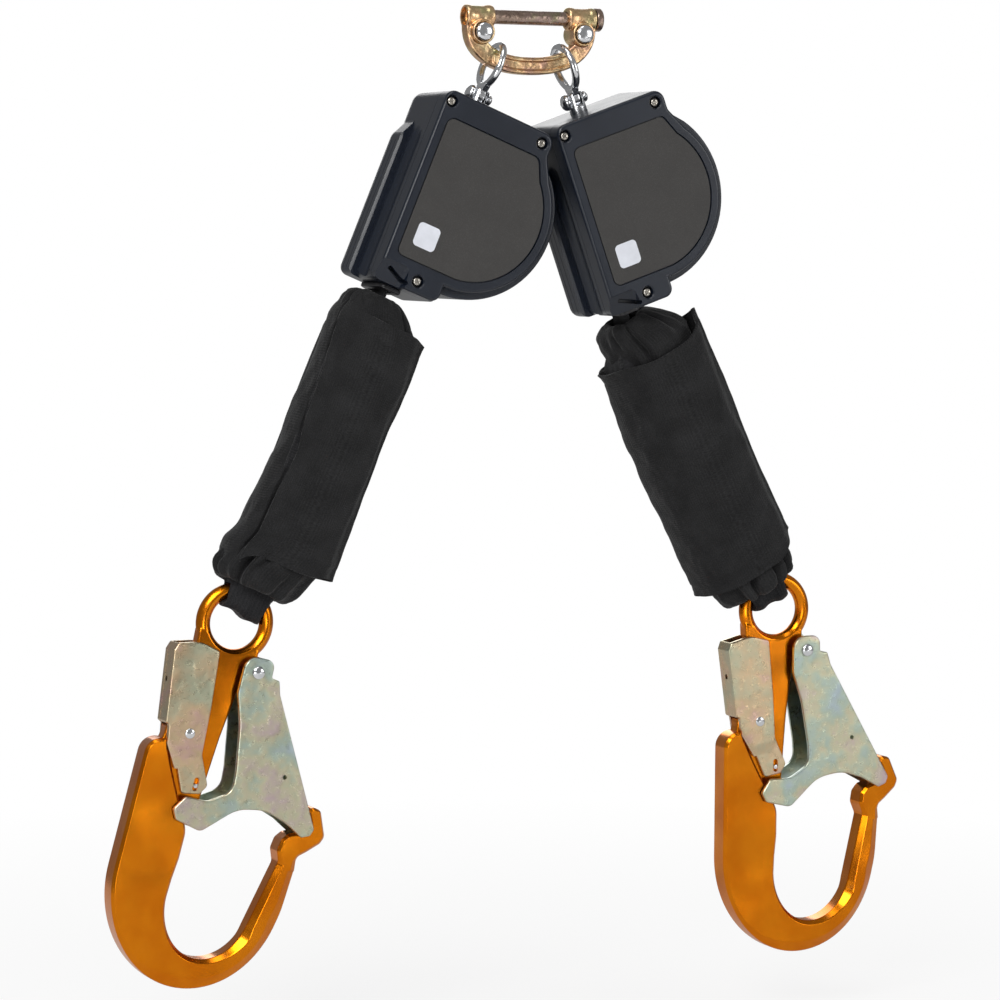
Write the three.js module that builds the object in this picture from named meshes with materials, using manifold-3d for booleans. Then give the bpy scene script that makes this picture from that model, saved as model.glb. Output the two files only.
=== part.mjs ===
// Twin self retracting lifeline hanging from a harness connector, in millimetres.
// X runs to the right, Y away from the viewer, Z up. The origin is the middle of the connector pin.
import * as THREE from 'three';
import { mergeVertices } from 'three/addons/utils/BufferGeometryUtils.js';
import Module from 'manifold-3d';

const wasm = await Module();
wasm.setup();

// Clearances, and how far a cut runs past what it cuts
const seatGap = 0.3;
const runningGap = 0.3;
const overrun = 2;

// Facets round small and large circles, and the turn of one facet on a rounded corner
const smallFacets = 10;
const facets = 16;
const largeFacets = 24;
const arcStepDegrees = 30;

// Connector yoke
const yokeHalfWidth = 41.5;
const yokeDrop = 28.2;
const yokeInnerHalfWidth = 31;
const yokeInnerDrop = 18;
const yokeArmBelow = 5;
const yokeRoundness = 2.3;
const yokeThickness = 9;
const yokeEdgeRound = 0.9;
const yokeWebInset = 2.2;
const yokeWebDepth = 1.5;
const yokeWebReachShare = 0.64;
const lugRadius = 6.8;
const lugInner = 23.5;
const lugOuter = 41.5;
const bossRadius = 7.2;
const bossDepth = 17;
const buttonAcross = 32;
const buttonBelow = 9;
const buttonRadius = 5.3;
const buttonBoreDepth = 6;
const buttonDome = 1.6;
const buttonProud = 1.4;
const buttonTravel = 2.8;
const plungerRadius = 3;
const socketRadius = 5.2;
const socketDepth = 4;

// Connector pin
const pinRadius = 4.15;
const pinHeadRadius = 6.8;
const pinHeadThickness = 3.8;
const pinRecess = 4.5;

// Swivel eye, its pin and its post
const eyeInnerRadius = 10.5;
const eyeWireRadius = 2.25;
const eyeWireFacets = 6;
const hangAcross = 20.2;
const tangThickness = 4.2;
const tangWidth = 8;
const eyePinBelowRing = 4.75;
const eyePinRadius = 2;
const eyeHeadRadius = 4.9;
const eyeHeadHeight = 3.8;
const eyeTailRadius = 3.3;
const eyeTailHeight = 2.6;
const postRadius = 5.2;
const collarRadius = 8;
const collarThickness = 2.2;

// Housing, laid out from its top left cover screw
const postToScrew = 25.3;
const ringToHousing = 12.65;
const screwSpan = 61.3;
const screwDrop = 103.5;
const screwStep = 20.3;
const topMargin = 6.7;
const sideMargin = 4.5;
const bottomMargin = 7;
const drumAcross = 36.5;
const drumBelow = 50.5;
const faceRadius = 49.3;
const shellRadius = 53.5;
const housingThickness = 58;
const faceStep = 6;
const coverDepth = 12;
const wall = 2.6;
const topRound = 6;
const footRound = 4;
const heelRound = 7;
const shoulderDrop = 6.5;
const shoulderAngleDegrees = 38.4;
const rearRound = 11;
const rearShrinkShare = 0.87;
const sideBlockRise = 4.6;
const sideBlockTop = 14;
const sideBlockSlope = 8;
const sideBlockDepth = 23;
const scoopRise = 12;
const scoopDepth = 7;
const scoopWidth = 19;

// Label plate, laid out from the same screw
const labelAcross = 1.8;
const labelBelow = 8.8;
const labelShoulder = 62.5;
const labelFoot = 93.4;
const labelRadius = 43.1;
const labelShoulderDegrees = 42;
const labelRecess = 1.2;
const labelThickness = 0.6;
const labelRound = 3;

// Cover screws and their bosses
const screwHeadRadius = 2.7;
const screwHeadHeight = 2.7;
const screwRadius = 1.5;
const screwLength = 17;
const screwBoreRadius = 3.5;
const screwBoreDepth = 4;
const screwBossRadius = 4.1;
const screwBossDepth = 19;

// Frame and the shaft it carries
const frameSheet = 2;
const frameWidth = 26;
const frameBelowTop = 5.6;
const frameTail = 10;
const shaftRadius = 5;
const shaftProud = 1.5;

// Drum, webbing, power spring and brake
const drumCoreRadius = 18;
const drumFlangeRadius = 37;
const drumFlange = 1.6;
const webbingWidth = 22;
const webbingSideGap = 0.8;
const woundRadius = 35.2;
const springInnerRadius = 7;
const springOuterRadius = 33;
const springWidth = 5.8;
const ratchetOuterRadius = 37.4;
const ratchetRootRadius = 34.4;
const ratchetTipRadius = 31.2;
const ratchetTeeth = 18;
const ratchetThickness = 3.4;
const pawlPivotRadius = 22;
const pawlPinRadius = 2;
const pawlWall = 3.2;
const pawlHeel = 4;
const pawlReach = 18;
const pawlNose = 3.4;

// Nozzle and the webbing that leaves it
const nozzleAcross = 14;
const nozzleWide = 14;
const nozzleLong = 34;
const nozzleProud = 3;
const nozzleNeckWide = 9;
const nozzleNeckLong = 29;
const nozzleNeckDepth = 7;
const slotWide = 5;
const slotLong = 25;
const webbingThickness = 3;
const leadInside = 9;
const leadBelow = 11.6;
const swayBelowHousing = 6.4;

// Absorber and its sleeve, laid out down its axis from where it sways
const absorberLength = 206;
const sleeveTop = 4;
const sleeveAboveEye = 18;
const sleeveHalfWidth = 33.5;
const sleeveHalfDepth = 23;
const sleeveWall = 2.4;
const sleeveSquareness = 2.6;
const leftSleeveShift = 6.5;
const rightSleeveShift = 2.5;
const sleeveSides = 24;
const packTop = 12;
const packAboveEye = 48;
const packHalfWidth = 22;
const packHalfDepth = 14;
const packEdge = 4;
const packEndShare = 0.65;
const packShiftShare = 0.4;

// Hook, laid out from the middle of its eye
const hookWidth = 121;
const hookReach = 210.5;
const hookThickness = 16;
const hookEdge = 2.4;
const neckThickness = 9.5;
const neckEdge = 1.4;
const hookEyeInner = 15;
const hookEyeOuter = 23.3;
const gateLugRadius = 6.6;
const gateGap = 1;
const gateSheet = 2.5;
const gateRivetRadius = 2.6;
const gateRivetHead = 3.9;
const gateRivetDome = 1.9;
const gateSpringInner = 3.6;
const gateSpringOuter = 5.6;
const gateSpringGap = 0.4;
const gateHoleRadius = 1.3;
const leverGap = 0.45;
const leverSheet = 1.8;
const leverRivetRadius = 2.1;
const leverRivetHead = 3;
const leverRivetDome = 1.3;
const leverSlotWidth = 3;
const leverSlotLength = 8;
const leafSheet = 0.8;
const leafWidth = 6;

// Loop of webbing through the hook's eye
const loopThickness = 3.2;
const loopSideGap = 0.45;
const loopHalfAngleDegrees = 32;
const loopSteps = 6;
const strapWidth = 26;
const strapThickness = 12;

// Attitudes in degrees from hanging straight down, positive when the foot swings to the left
const leftTiltDegrees = { housing: 22.4, absorber: 25, hook: 15.1 };
const rightTiltDegrees = { housing: -19.8, absorber: -30.5, hook: 0 };

// Outlines of the hook's pieces: shares of its width, of its reach, and corner radii as shares of its width
const spineShares = [
  [-0.12, -0.492, 0],
  [-0.14, -0.442, 0.05],
  [-0.169, -0.399, 0.05],
  [-0.198, -0.366, 0.05],
  [-0.223, -0.345, 0],
  [-0.306, -0.345, 0.074],
];
const noseOuterShares = [
  [0.583, -0.582, 0.017],
  [0.624, -0.563, 0],
  [0.682, -0.532, 0.03],
  [0.697, -0.511, 0.03],
  [0.645, -0.443, 0.026],
  [0.603, -0.438, 0.026],
  [0.579, -0.454, 0],
  [0.61, -0.49, 0.008],
];
const noseInnerShares = [
  [0.512, -0.524, 0],
  [0.484, -0.544, 0.026],
  [0.476, -0.575, 0.026],
  [0.498, -0.606, 0.025],
];
const throatShares = [
  [0.03, -0.575, 0.033],
  [0.038, -0.511, 0.026],
];
const bowlOuterShares = { across: 0.14, up: -0.713, wide: 0.444, deep: 0.287 };
const bowlInnerShares = { across: 0.219, up: -0.76, wide: 0.211, deep: 0.15 };
const neckShares = [
  [0.145, -0.057, 0],
  [0.145, -0.086, 0.017],
  [0.102, -0.1, 0.025],
  [0.086, -0.19, 0.165],
  [0.06, -0.314, 0.165],
  [0.045, -0.437, 0.165],
  [0.04, -0.551, 0],
  [-0.132, -0.551, 0],
  [-0.24, -0.399, 0],
  [-0.215, -0.333, 0],
  [-0.215, -0.316, 0.017],
  [-0.165, -0.276, 0.025],
  [-0.165, -0.114, 0.025],
  [-0.174, -0.038, 0],
];
const gateShares = [
  [0.071, -0.181, 0.083],
  [0.071, -0.074, 0.069],
  [0.217, -0.074, 0.069],
  [0.22, -0.121, 0],
  [0.261, -0.124, 0.013],
  [0.281, -0.16, 0.033],
  [0.62, -0.496, 0.025],
  [0.607, -0.516, 0.017],
  [0.565, -0.526, 0.017],
  [0.467, -0.496, 0.066],
  [0.355, -0.475, 0.198],
  [0.215, -0.489, 0.182],
  [0.062, -0.57, 0.041],
  [-0.074, -0.553, 0.021],
  [-0.099, -0.525, 0.017],
  [-0.053, -0.486, 0.025],
  [0.058, -0.486, 0.074],
  [0.167, -0.447, 0.074],
  [0.16, -0.39, 0.165],
  [0.121, -0.266, 0.248],
];
const gateWebShares = [
  [0.241, -0.13, 0],
  [0.26, -0.124, 0],
  [0.281, -0.161, 0],
  [0.604, -0.487, 0],
  [0.588, -0.494, 0],
  [0.263, -0.166, 0],
];
const leverShares = [
  [-0.281, -0.111, 0.012],
  [-0.268, -0.089, 0.017],
  [-0.157, -0.071, 0.116],
  [-0.055, -0.085, 0.017],
  [-0.028, -0.238, 0.331],
  [-0.013, -0.366, 0.083],
  [0.053, -0.447, 0.025],
  [0.023, -0.473, 0.017],
  [-0.066, -0.483, 0.021],
  [-0.117, -0.418, 0.083],
  [-0.202, -0.356, 0.066],
  [-0.215, -0.307, 0.017],
  [-0.231, -0.307, 0],
];
const leverWebShares = [
  [-0.281, -0.112, 0],
  [-0.266, -0.112, 0],
  [-0.218, -0.306, 0],
  [-0.231, -0.307, 0],
];
const leafShares = [
  [-0.171, -0.27, 0],
  [-0.178, -0.22, 0],
  [-0.205, -0.18, 0],
  [-0.245, -0.15, 0],
];
const gateRivetShares = { across: 0.145, up: -0.1155 };
const leverRivetShares = { across: -0.102, up: -0.319 };
const gateHoleShares = { across: 0.405, up: -0.375 };
const leverSlotShares = { across: -0.008, up: -0.449 };

// Sleeve sections: shares of its length, half width, half depth and shift
const sleeveSectionShares = [
  [0, 0.51, 0.62, 0],
  [0.05, 0.68, 0.76, 0.1],
  [0.1, 0.78, 0.84, 0.3],
  [0.115, 0.96, 0.94, 1.1],
  [0.15, 0.99, 0.99, 1.1],
  [0.26, 0.99, 1, 1],
  [0.42, 0.96, 0.97, 0.9],
  [0.58, 0.97, 0.99, 0.9],
  [0.74, 0.99, 1, 1],
  [0.9, 1.02, 0.99, 1.1],
  [0.915, 0.84, 0.86, 0.7],
  [0.965, 0.74, 0.78, 0.4],
  [1, 0.6, 0.64, 0.1],
];
const sleeveFoldShares = { wide: 0.035, crease: 0.02 };
const sleeveFolds = 5;
const sleeveTwists = 1.2;

// Seams that stand up along the sleeve: place round it, rise and width as shares
const sleeveSeamShares = [
  { turn: 0.6, rise: 0.07, width: 0.035 },
  { turn: 0.93, rise: 0.08, width: 0.045 },
];

// Ratchet gap and slope as shares of one tooth, and the first tooth's place as a share of a turn
const toothGapShare = 0.6;
const toothRiseShare = 0.05;
const toothStartShare = 0.0278;

// Places worked out from the sizes above
const radians = THREE.MathUtils.degToRad;
const degrees = THREE.MathUtils.radToDeg;
const buttonBoreRadius = buttonRadius + runningGap;
const eyeRingRadius = eyeInnerRadius + eyeWireRadius;
const ringBottom = -(2 * eyeRingRadius + eyeWireRadius);
const eyePinZ = ringBottom - eyePinBelowRing;
const postTop = ringBottom - seatGap;
const slotFloor = eyePinZ - tangWidth / 2 - seatGap;
const housingTop = ringBottom - ringToHousing;
const screwX = -postToScrew;
const screwZ = housingTop - topMargin;
const housingBottom = screwZ - screwDrop - bottomMargin;
const housingLeft = screwX - sideMargin;
const drumX = screwX + drumAcross;
const drumZ = screwZ - drumBelow;
const faceY = -housingThickness / 2;
const rearY = housingThickness / 2;
const stepY = faceY + faceStep;
const partingY = faceY + coverDepth;
const bridgeTop = housingTop - frameBelowTop;
const bridgeBottom = bridgeTop - frameSheet;
const collarTop = bridgeBottom - seatGap;
const drumHalf = webbingWidth / 2 + webbingSideGap;
const flangeOuter = drumHalf + drumFlange;
const brakeRear = -flangeOuter - 2 * runningGap;
const brakeFront = brakeRear - ratchetThickness;
const frameFrontRear = brakeFront - seatGap;
const frameFront = frameFrontRear - frameSheet;
const springFront = flangeOuter + 2 * runningGap;
const springRear = springFront + springWidth;
const frameRearFront = springRear + 2 * runningGap;
const frameRear = frameRearFront + frameSheet;
const nozzleX = -nozzleAcross;
const swayZ = housingBottom - swayBelowHousing;
const sleeveBottom = absorberLength - sleeveAboveEye;
const packBottom = absorberLength - packAboveEye;
const neckHalf = neckThickness / 2;
const hookHalf = hookThickness / 2;
const leverInside = neckHalf + leverGap;
const gateInside = hookHalf + gateGap;

// The three cover screws' places
const screwPlaces = [
  [screwX, screwZ],
  [screwX + screwSpan, screwZ],
  [screwX + screwStep, screwZ - screwDrop],
];

// Copy of a geometry whose triangles all face out
function facingOut(geometry) {
  const loose = geometry.index ? geometry.toNonIndexed() : geometry.clone();
  loose.deleteAttribute('normal');
  loose.deleteAttribute('uv');
  const corners = loose.attributes.position;
  const [a, b, c] = [new THREE.Vector3(), new THREE.Vector3(), new THREE.Vector3()];
  let volume = 0;
  for (let i = 0; i < corners.count; i += 3) {
    a.fromBufferAttribute(corners, i);
    b.fromBufferAttribute(corners, i + 1);
    c.fromBufferAttribute(corners, i + 2);
    volume += a.dot(b.cross(c));
  }
  if (volume < 0) {
    for (let i = 0; i < corners.count; i += 3) {
      b.fromBufferAttribute(corners, i + 1);
      c.fromBufferAttribute(corners, i + 2);
      corners.setXYZ(i + 1, c.x, c.y, c.z);
      corners.setXYZ(i + 2, b.x, b.y, b.z);
    }
  }
  return mergeVertices(loose);
}

// Solid ready for a join or a cut
function solid(geometry) {
  const closed = facingOut(geometry);
  return new wasm.Manifold(new wasm.Mesh({
    numProp: 3,
    vertProperties: new Float32Array(closed.attributes.position.array),
    triVerts: new Uint32Array(closed.index.array),
  }));
}

// Joins geometries and solids into one solid
function join(...pieces) {
  return pieces
    .map((item) => (item.isBufferGeometry ? solid(item) : item))
    .reduce((whole, item) => whole.add(item));
}

// Cuts geometries out of a solid
function cut(body, ...tools) {
  return tools.map(solid).reduce((rest, tool) => rest.subtract(tool), body);
}

// Geometry of a finished solid
function shaped(body) {
  const mesh = body.getMesh();
  const geometry = new THREE.BufferGeometry();
  geometry.setAttribute('position', new THREE.BufferAttribute(mesh.vertProperties, 3));
  geometry.setIndex(new THREE.BufferAttribute(mesh.triVerts, 1));
  return geometry;
}

// Box between two corners
function block(x0, x1, y0, y1, z0, z1) {
  const box = new THREE.BoxGeometry(x1 - x0, y1 - y0, z1 - z0);
  return box.translate((x0 + x1) / 2, (y0 + y1) / 2, (z0 + z1) / 2);
}

// Round bar along Y at a place in the XZ plane
function barY(radius, y0, y1, x = 0, z = 0, sides = smallFacets) {
  const bar = new THREE.CylinderGeometry(radius, radius, y1 - y0, sides);
  return bar.translate(x, (y0 + y1) / 2, z);
}

// Round bar along X at a height
function barX(radius, x0, x1, z = 0, sides = smallFacets) {
  const bar = new THREE.CylinderGeometry(radius, radius, x1 - x0, sides);
  return bar.rotateZ(Math.PI / 2).translate((x0 + x1) / 2, 0, z);
}

// Round bar along Z on the axis
function barZ(radius, z0, z1, sides = smallFacets) {
  const bar = new THREE.CylinderGeometry(radius, radius, z1 - z0, sides);
  return bar.rotateX(Math.PI / 2).translate(0, 0, (z0 + z1) / 2);
}

// Piece turned about Y from [radius, y] pairs that start and end on the axis, or close
function turnedY(profile, sides = facets) {
  return new THREE.LatheGeometry(profile.map(([radius, y]) => new THREE.Vector2(radius, y)), sides);
}

// Flat ring about Y
function ringY(inner, outer, y0, y1, sides = largeFacets) {
  return turnedY([[inner, y0], [outer, y0], [outer, y1], [inner, y1], [inner, y0]], sides);
}

// Outline with rounded corners, from [x, z, radius] corners
function rounded(corners) {
  const points = [];
  corners.forEach(([x, z, radius], i) => {
    const before = corners[(i + corners.length - 1) % corners.length];
    const after = corners[(i + 1) % corners.length];
    const back = new THREE.Vector2(before[0] - x, before[1] - z);
    const ahead = new THREE.Vector2(after[0] - x, after[1] - z);
    const reach = Math.min(back.length(), ahead.length()) / 2;
    back.normalize();
    ahead.normalize();
    const half = Math.acos(THREE.MathUtils.clamp(back.dot(ahead), -1, 1)) / 2;
    const turn = Math.PI - 2 * half;
    if (!radius || turn < radians(arcStepDegrees) / 3) {
      points.push([x, z]);
      return;
    }
    const along = Math.min(radius / Math.tan(half), reach);
    const curve = along * Math.tan(half);
    const centre = back.clone().add(ahead).normalize().multiplyScalar(curve / Math.sin(half));
    const start = back.clone().multiplyScalar(along).sub(centre);
    const side = back.cross(ahead) < 0 ? 1 : -1;
    const steps = Math.max(1, Math.round(turn / radians(arcStepDegrees)));
    for (let k = 0; k <= steps; k += 1) {
      const spoke = start.clone().rotateAround(new THREE.Vector2(), (side * turn * k) / steps);
      points.push([x + centre.x + spoke.x, z + centre.y + spoke.y]);
    }
  });
  return points;
}

// Arc of an ellipse as [x, z, 0] corners, from one angle to another in degrees
function arc(x, z, wide, high, from, to) {
  const steps = Math.max(2, Math.round(Math.abs(to - from) / (arcStepDegrees / 2)));
  return Array.from({ length: steps + 1 }, (_, k) => {
    const angle = radians(from + ((to - from) * k) / steps);
    return [x + wide * Math.cos(angle), z + high * Math.sin(angle), 0];
  });
}

// Outline moved inwards by a wall, or outwards where the wall is negative
function inset(outline, distance) {
  const flat = outline.map(([x, z]) => new THREE.Vector2(x, z));
  const side = Math.sign(THREE.ShapeUtils.area(flat));
  return flat.map((point, i) => {
    const before = point.clone().sub(flat[(i + flat.length - 1) % flat.length]).normalize();
    const after = flat[(i + 1) % flat.length].clone().sub(point).normalize();
    const normal = new THREE.Vector2(-before.y - after.y, before.x + after.x).normalize();
    const spread = Math.max(normal.x * -after.y + normal.y * after.x, Math.cos(Math.PI / 3));
    return [
      point.x + (normal.x * side * distance) / spread,
      point.y + (normal.y * side * distance) / spread,
    ];
  });
}

// Plate with an XZ outline between two depths, with rounded edges where asked
function plate(outline, y0, y1, edge = 0) {
  const shape = new THREE.Shape(outline.map(([x, z]) => new THREE.Vector2(x, z)));
  const extrude = new THREE.ExtrudeGeometry(shape, {
    depth: y1 - y0 - 2 * edge,
    bevelEnabled: edge > 0,
    bevelThickness: edge,
    bevelSize: edge,
    bevelOffset: -edge,
    bevelSegments: 1,
  });
  return extrude.rotateX(Math.PI / 2).translate(0, y1 - edge, 0);
}

// Closed skin through rings of equal point count, capped or joined end to end
function lofted(rings, looped = false) {
  const positions = [];
  const push = (...corners) => corners.forEach((corner) => positions.push(...corner));
  const spans = looped ? rings.length : rings.length - 1;
  for (let r = 0; r < spans; r += 1) {
    const near = rings[r];
    const far = rings[(r + 1) % rings.length];
    near.forEach((point, i) => {
      const j = (i + 1) % near.length;
      push(point, near[j], far[j], point, far[j], far[i]);
    });
  }
  if (!looped) {
    capOf(rings[0]).forEach(([a, b, c]) => push(c, b, a));
    capOf(rings[rings.length - 1]).forEach((corners) => push(...corners));
  }
  const geometry = new THREE.BufferGeometry();
  geometry.setAttribute('position', new THREE.Float32BufferAttribute(positions, 3));
  return geometry;
}

// Triangles that fill a flat ring, turning the same way as the ring
function capOf(ring) {
  const normal = new THREE.Vector3();
  ring.forEach(([x, y, z], i) => {
    const [u, v, w] = ring[(i + 1) % ring.length];
    normal.add(new THREE.Vector3((y - v) * (z + w), (z - w) * (x + u), (x - u) * (y + v)));
  });
  const axes = [0, 1, 2].filter((axis) => axis !== largestAxis(normal));
  const flat = ring.map((point) => new THREE.Vector2(point[axes[0]], point[axes[1]]));
  const forward = THREE.ShapeUtils.area(flat) > 0;
  return THREE.ShapeUtils.triangulateShape(flat, []).map((face) => {
    const corners = face.map((index) => ring[index]);
    return forward ? corners : corners.reverse();
  });
}

// Index of a vector's largest component
function largestAxis(vector) {
  const sizes = vector.toArray().map(Math.abs);
  return sizes.indexOf(Math.max(...sizes));
}

// Plate whose rear edge is rounded by drawing its outline in towards a middle
function roundedShell(outline, y0, y1, round, middle) {
  const [middleX, middleZ] = middle;
  const ring = (y, share) => outline.map(([x, z]) => [
    middleX + (x - middleX) * share,
    y,
    middleZ + (z - middleZ) * share,
  ]);
  const turns = [0, 1 / 2, 1].map((part) => part * (Math.PI / 2));
  return lofted([
    ring(y0, 1),
    ...turns.map((turn) => ring(
      y1 - round + round * Math.sin(turn),
      1 - (1 - rearShrinkShare) * (1 - Math.cos(turn)),
    )),
  ]);
}

// Plain material of one finish
function finish(name, color, roughness, metalness) {
  return new THREE.MeshStandardMaterial({ name, color, roughness, metalness });
}

const finishes = {
  yokePlating: () => finish('yoke_plating', 0xb08a54, 0.35, 1),
  pinPlating: () => finish('pin_plating', 0x6f5b52, 0.4, 1),
  chrome: () => finish('chrome', 0xc9ccd0, 0.18, 1),
  stainless: () => finish('stainless', 0xa9a49a, 0.3, 1),
  housingPlastic: () => finish('housing_plastic', 0x232b38, 0.45, 0),
  labelFilm: () => finish('label_film', 0x34332f, 0.7, 0),
  blackPlastic: () => finish('black_plastic', 0x111214, 0.5, 0),
  innerSteel: () => finish('inner_steel', 0x8d9094, 0.4, 1),
  springSteel: () => finish('spring_steel', 0x5f6367, 0.35, 1),
  webbing: () => finish('webbing', 0x1b1b1c, 0.9, 0),
  sleeveCloth: () => finish('sleeve_cloth', 0x131315, 0.95, 0),
  hookAnodised: () => finish('hook_anodised', 0xc9761a, 0.35, 1),
  gatePlating: () => finish('gate_plating', 0xb9bfa6, 0.35, 1),
  leverPlating: () => finish('lever_plating', 0xb5a888, 0.4, 1),
};

// Named mesh of one piece
function piece(name, shape, material) {
  const geometry = facingOut(shape.isBufferGeometry ? shape : shaped(shape)).toNonIndexed();
  geometry.computeVertexNormals();
  const mesh = new THREE.Mesh(geometry, material);
  mesh.name = name;
  return mesh;
}

// Height of a rounded U at a distance across
function yokeHeight(x, halfWidth, drop) {
  const part = Math.min(1, Math.abs(x) / halfWidth);
  return -yokeArmBelow - drop * (1 - part ** yokeRoundness) ** (1 / yokeRoundness);
}

// Rounded U from its left end to its right end
function yokeEdge(halfWidth, drop, reachShare = 1) {
  return Array.from({ length: facets + 1 }, (_, k) => {
    const cosine = Math.cos(Math.PI * (1 - k / facets));
    const x = Math.sign(cosine) * Math.abs(cosine) ** (2 / yokeRoundness) * halfWidth * reachShare;
    return [x, yokeHeight(x, halfWidth, drop)];
  });
}

function yokeBody() {
  const half = yokeThickness / 2;
  const bossHalf = bossDepth / 2;
  const band = plate(
    [...yokeEdge(yokeHalfWidth, yokeDrop), ...yokeEdge(yokeInnerHalfWidth, yokeInnerDrop).reverse()],
    -half,
    half,
    yokeEdgeRound,
  );
  const webLower = yokeEdge(yokeHalfWidth - yokeWebInset, yokeDrop - yokeWebInset, yokeWebReachShare);
  const webUpper = webLower.map(([x]) => [
    x,
    yokeHeight(x, yokeInnerHalfWidth + yokeWebInset, yokeInnerDrop + yokeWebInset),
  ]);
  const web = [...webLower, ...webUpper.reverse()];
  const whole = join(
    band,
    barX(lugRadius, -lugOuter, -lugInner, 0, facets),
    barX(lugRadius, lugInner, lugOuter, 0, facets),
    barY(bossRadius, -bossHalf, bossHalf, -buttonAcross, -buttonBelow, facets),
    barY(bossRadius, -bossHalf, bossHalf, buttonAcross, -buttonBelow, facets),
  );
  const buttonBores = [-buttonAcross, buttonAcross].flatMap((x) => [
    barY(buttonBoreRadius, -bossHalf - overrun, -bossHalf + buttonBoreDepth, x, -buttonBelow, facets),
    barY(plungerRadius + runningGap, -bossHalf, bossHalf + overrun, x, -buttonBelow),
  ]);
  return cut(
    whole,
    plate(web, -half - overrun, -half + yokeWebDepth),
    plate(web, half - yokeWebDepth, half + overrun),
    barX(pinRadius + runningGap, -lugOuter - overrun, lugOuter + overrun, 0, facets),
    barX(socketRadius, -lugOuter - overrun, -lugOuter + socketDepth, 0, facets),
    ...buttonBores,
  );
}

function connectorPin() {
  const headStart = lugOuter + seatGap;
  return join(
    barX(pinRadius, -lugOuter + pinRecess, headStart + pinHeadThickness / 2, 0, facets),
    barX(pinHeadRadius, headStart, headStart + pinHeadThickness, 0, facets),
  );
}

// Domed button on its plunger
function lockButton(side) {
  const rim = -bossDepth / 2;
  const headRear = rim + buttonBoreDepth - buttonTravel - seatGap;
  const domeFoot = rim - buttonProud;
  const cosine = Math.cos(Math.PI / 6);
  return turnedY([
    [0, -rim - buttonTravel],
    [plungerRadius, -rim - buttonTravel],
    [plungerRadius, headRear],
    [buttonRadius, headRear],
    [buttonRadius, domeFoot],
    [buttonRadius * cosine, domeFoot - buttonDome / 2],
    [buttonRadius / 2, domeFoot - buttonDome * cosine],
    [0, domeFoot - buttonDome],
  ]).translate(side * buttonAcross, 0, -buttonBelow);
}

// Ring that hangs on the yoke, with the tang below it
function swivelEye() {
  const ring = new THREE.TorusGeometry(eyeRingRadius, eyeWireRadius, eyeWireFacets, largeFacets);
  ring.rotateY(Math.PI / 2).translate(0, 0, -eyeRingRadius);
  const half = tangThickness / 2;
  const whole = join(
    ring,
    block(-half, half, -tangWidth / 2, tangWidth / 2, eyePinZ, ringBottom + eyeWireRadius),
    barX(tangWidth / 2, -half, half, eyePinZ),
  );
  return cut(whole, barX(eyePinRadius + runningGap, -tangThickness, tangThickness, eyePinZ));
}

// Rivet through the post: a large dome on the left, a small one on the right
function eyePin() {
  const seat = postRadius + seatGap;
  const cosine = Math.cos(Math.PI / 4);
  return turnedY([
    [0, -seat - eyeTailHeight],
    [eyeTailRadius * cosine, -seat - eyeTailHeight * cosine],
    [eyeTailRadius, -seat],
    [eyePinRadius, -seat],
    [eyePinRadius, seat],
    [eyeHeadRadius, seat],
    [eyeHeadRadius, seat + eyeHeadHeight / 4],
    [eyeHeadRadius * cosine, seat + eyeHeadHeight * cosine],
    [0, seat + eyeHeadHeight],
  ], smallFacets).rotateZ(Math.PI / 2).translate(0, 0, eyePinZ);
}

function swivelPost() {
  const across = postRadius + overrun;
  const slot = tangThickness / 2 + seatGap;
  return cut(
    join(
      barZ(postRadius, collarTop - collarThickness / 2, postTop, facets),
      barZ(collarRadius, collarTop - collarThickness, collarTop, facets),
    ),
    block(-slot, slot, -across, across, slotFloor, postTop + overrun),
    barX(eyePinRadius + runningGap, -across, across, eyePinZ),
  );
}

// Outline of a cover with a given radius round the drum, and with its left side moved out
function coverOutline(radius, bulge = 0) {
  const right = screwX + screwSpan + topMargin;
  const blockTop = screwZ - sideBlockTop;
  const leftSide = bulge > 0 ? [
    [housingLeft - bulge, housingBottom, footRound],
    [housingLeft - bulge, blockTop - sideBlockSlope, footRound],
    [housingLeft, blockTop, 0],
  ] : [[housingLeft, housingBottom, footRound]];
  const belly = arc(drumX, drumZ, radius, radius, shoulderAngleDegrees, -90);
  return rounded([
    ...leftSide,
    [housingLeft, housingTop, topRound],
    [right, housingTop, topMargin],
    [right, screwZ - shoulderDrop, topRound],
    ...belly,
    [drumX, housingBottom, heelRound],
  ]);
}

// Outline of the label plate or, grown, of its recess
function labelOutline(grow) {
  const foot = screwZ - labelFoot - grow;
  const radius = labelRadius + grow;
  const lowest = degrees(Math.asin((foot - drumZ) / radius));
  return rounded([
    [screwX + labelAcross - grow, foot, labelRound + grow],
    [screwX + labelAcross - grow, screwZ - labelBelow + grow, labelRound + grow],
    [screwX + labelShoulder + grow, screwZ - labelBelow + grow, labelRound],
    ...arc(drumX, drumZ, radius, radius, labelShoulderDegrees, lowest),
  ]);
}

// Wedge cut under the bezel's lower left corner
function scoopTool() {
  const section = (x) => [
    [x, faceY - overrun, housingBottom + scoopRise],
    [x, faceY, housingBottom + scoopRise],
    [x, faceY + scoopDepth, housingBottom],
    [x, faceY + scoopDepth, housingBottom - overrun],
    [x, faceY - overrun, housingBottom - overrun],
  ];
  return lofted([section(housingLeft - overrun), section(housingLeft + scoopWidth)]);
}

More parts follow.
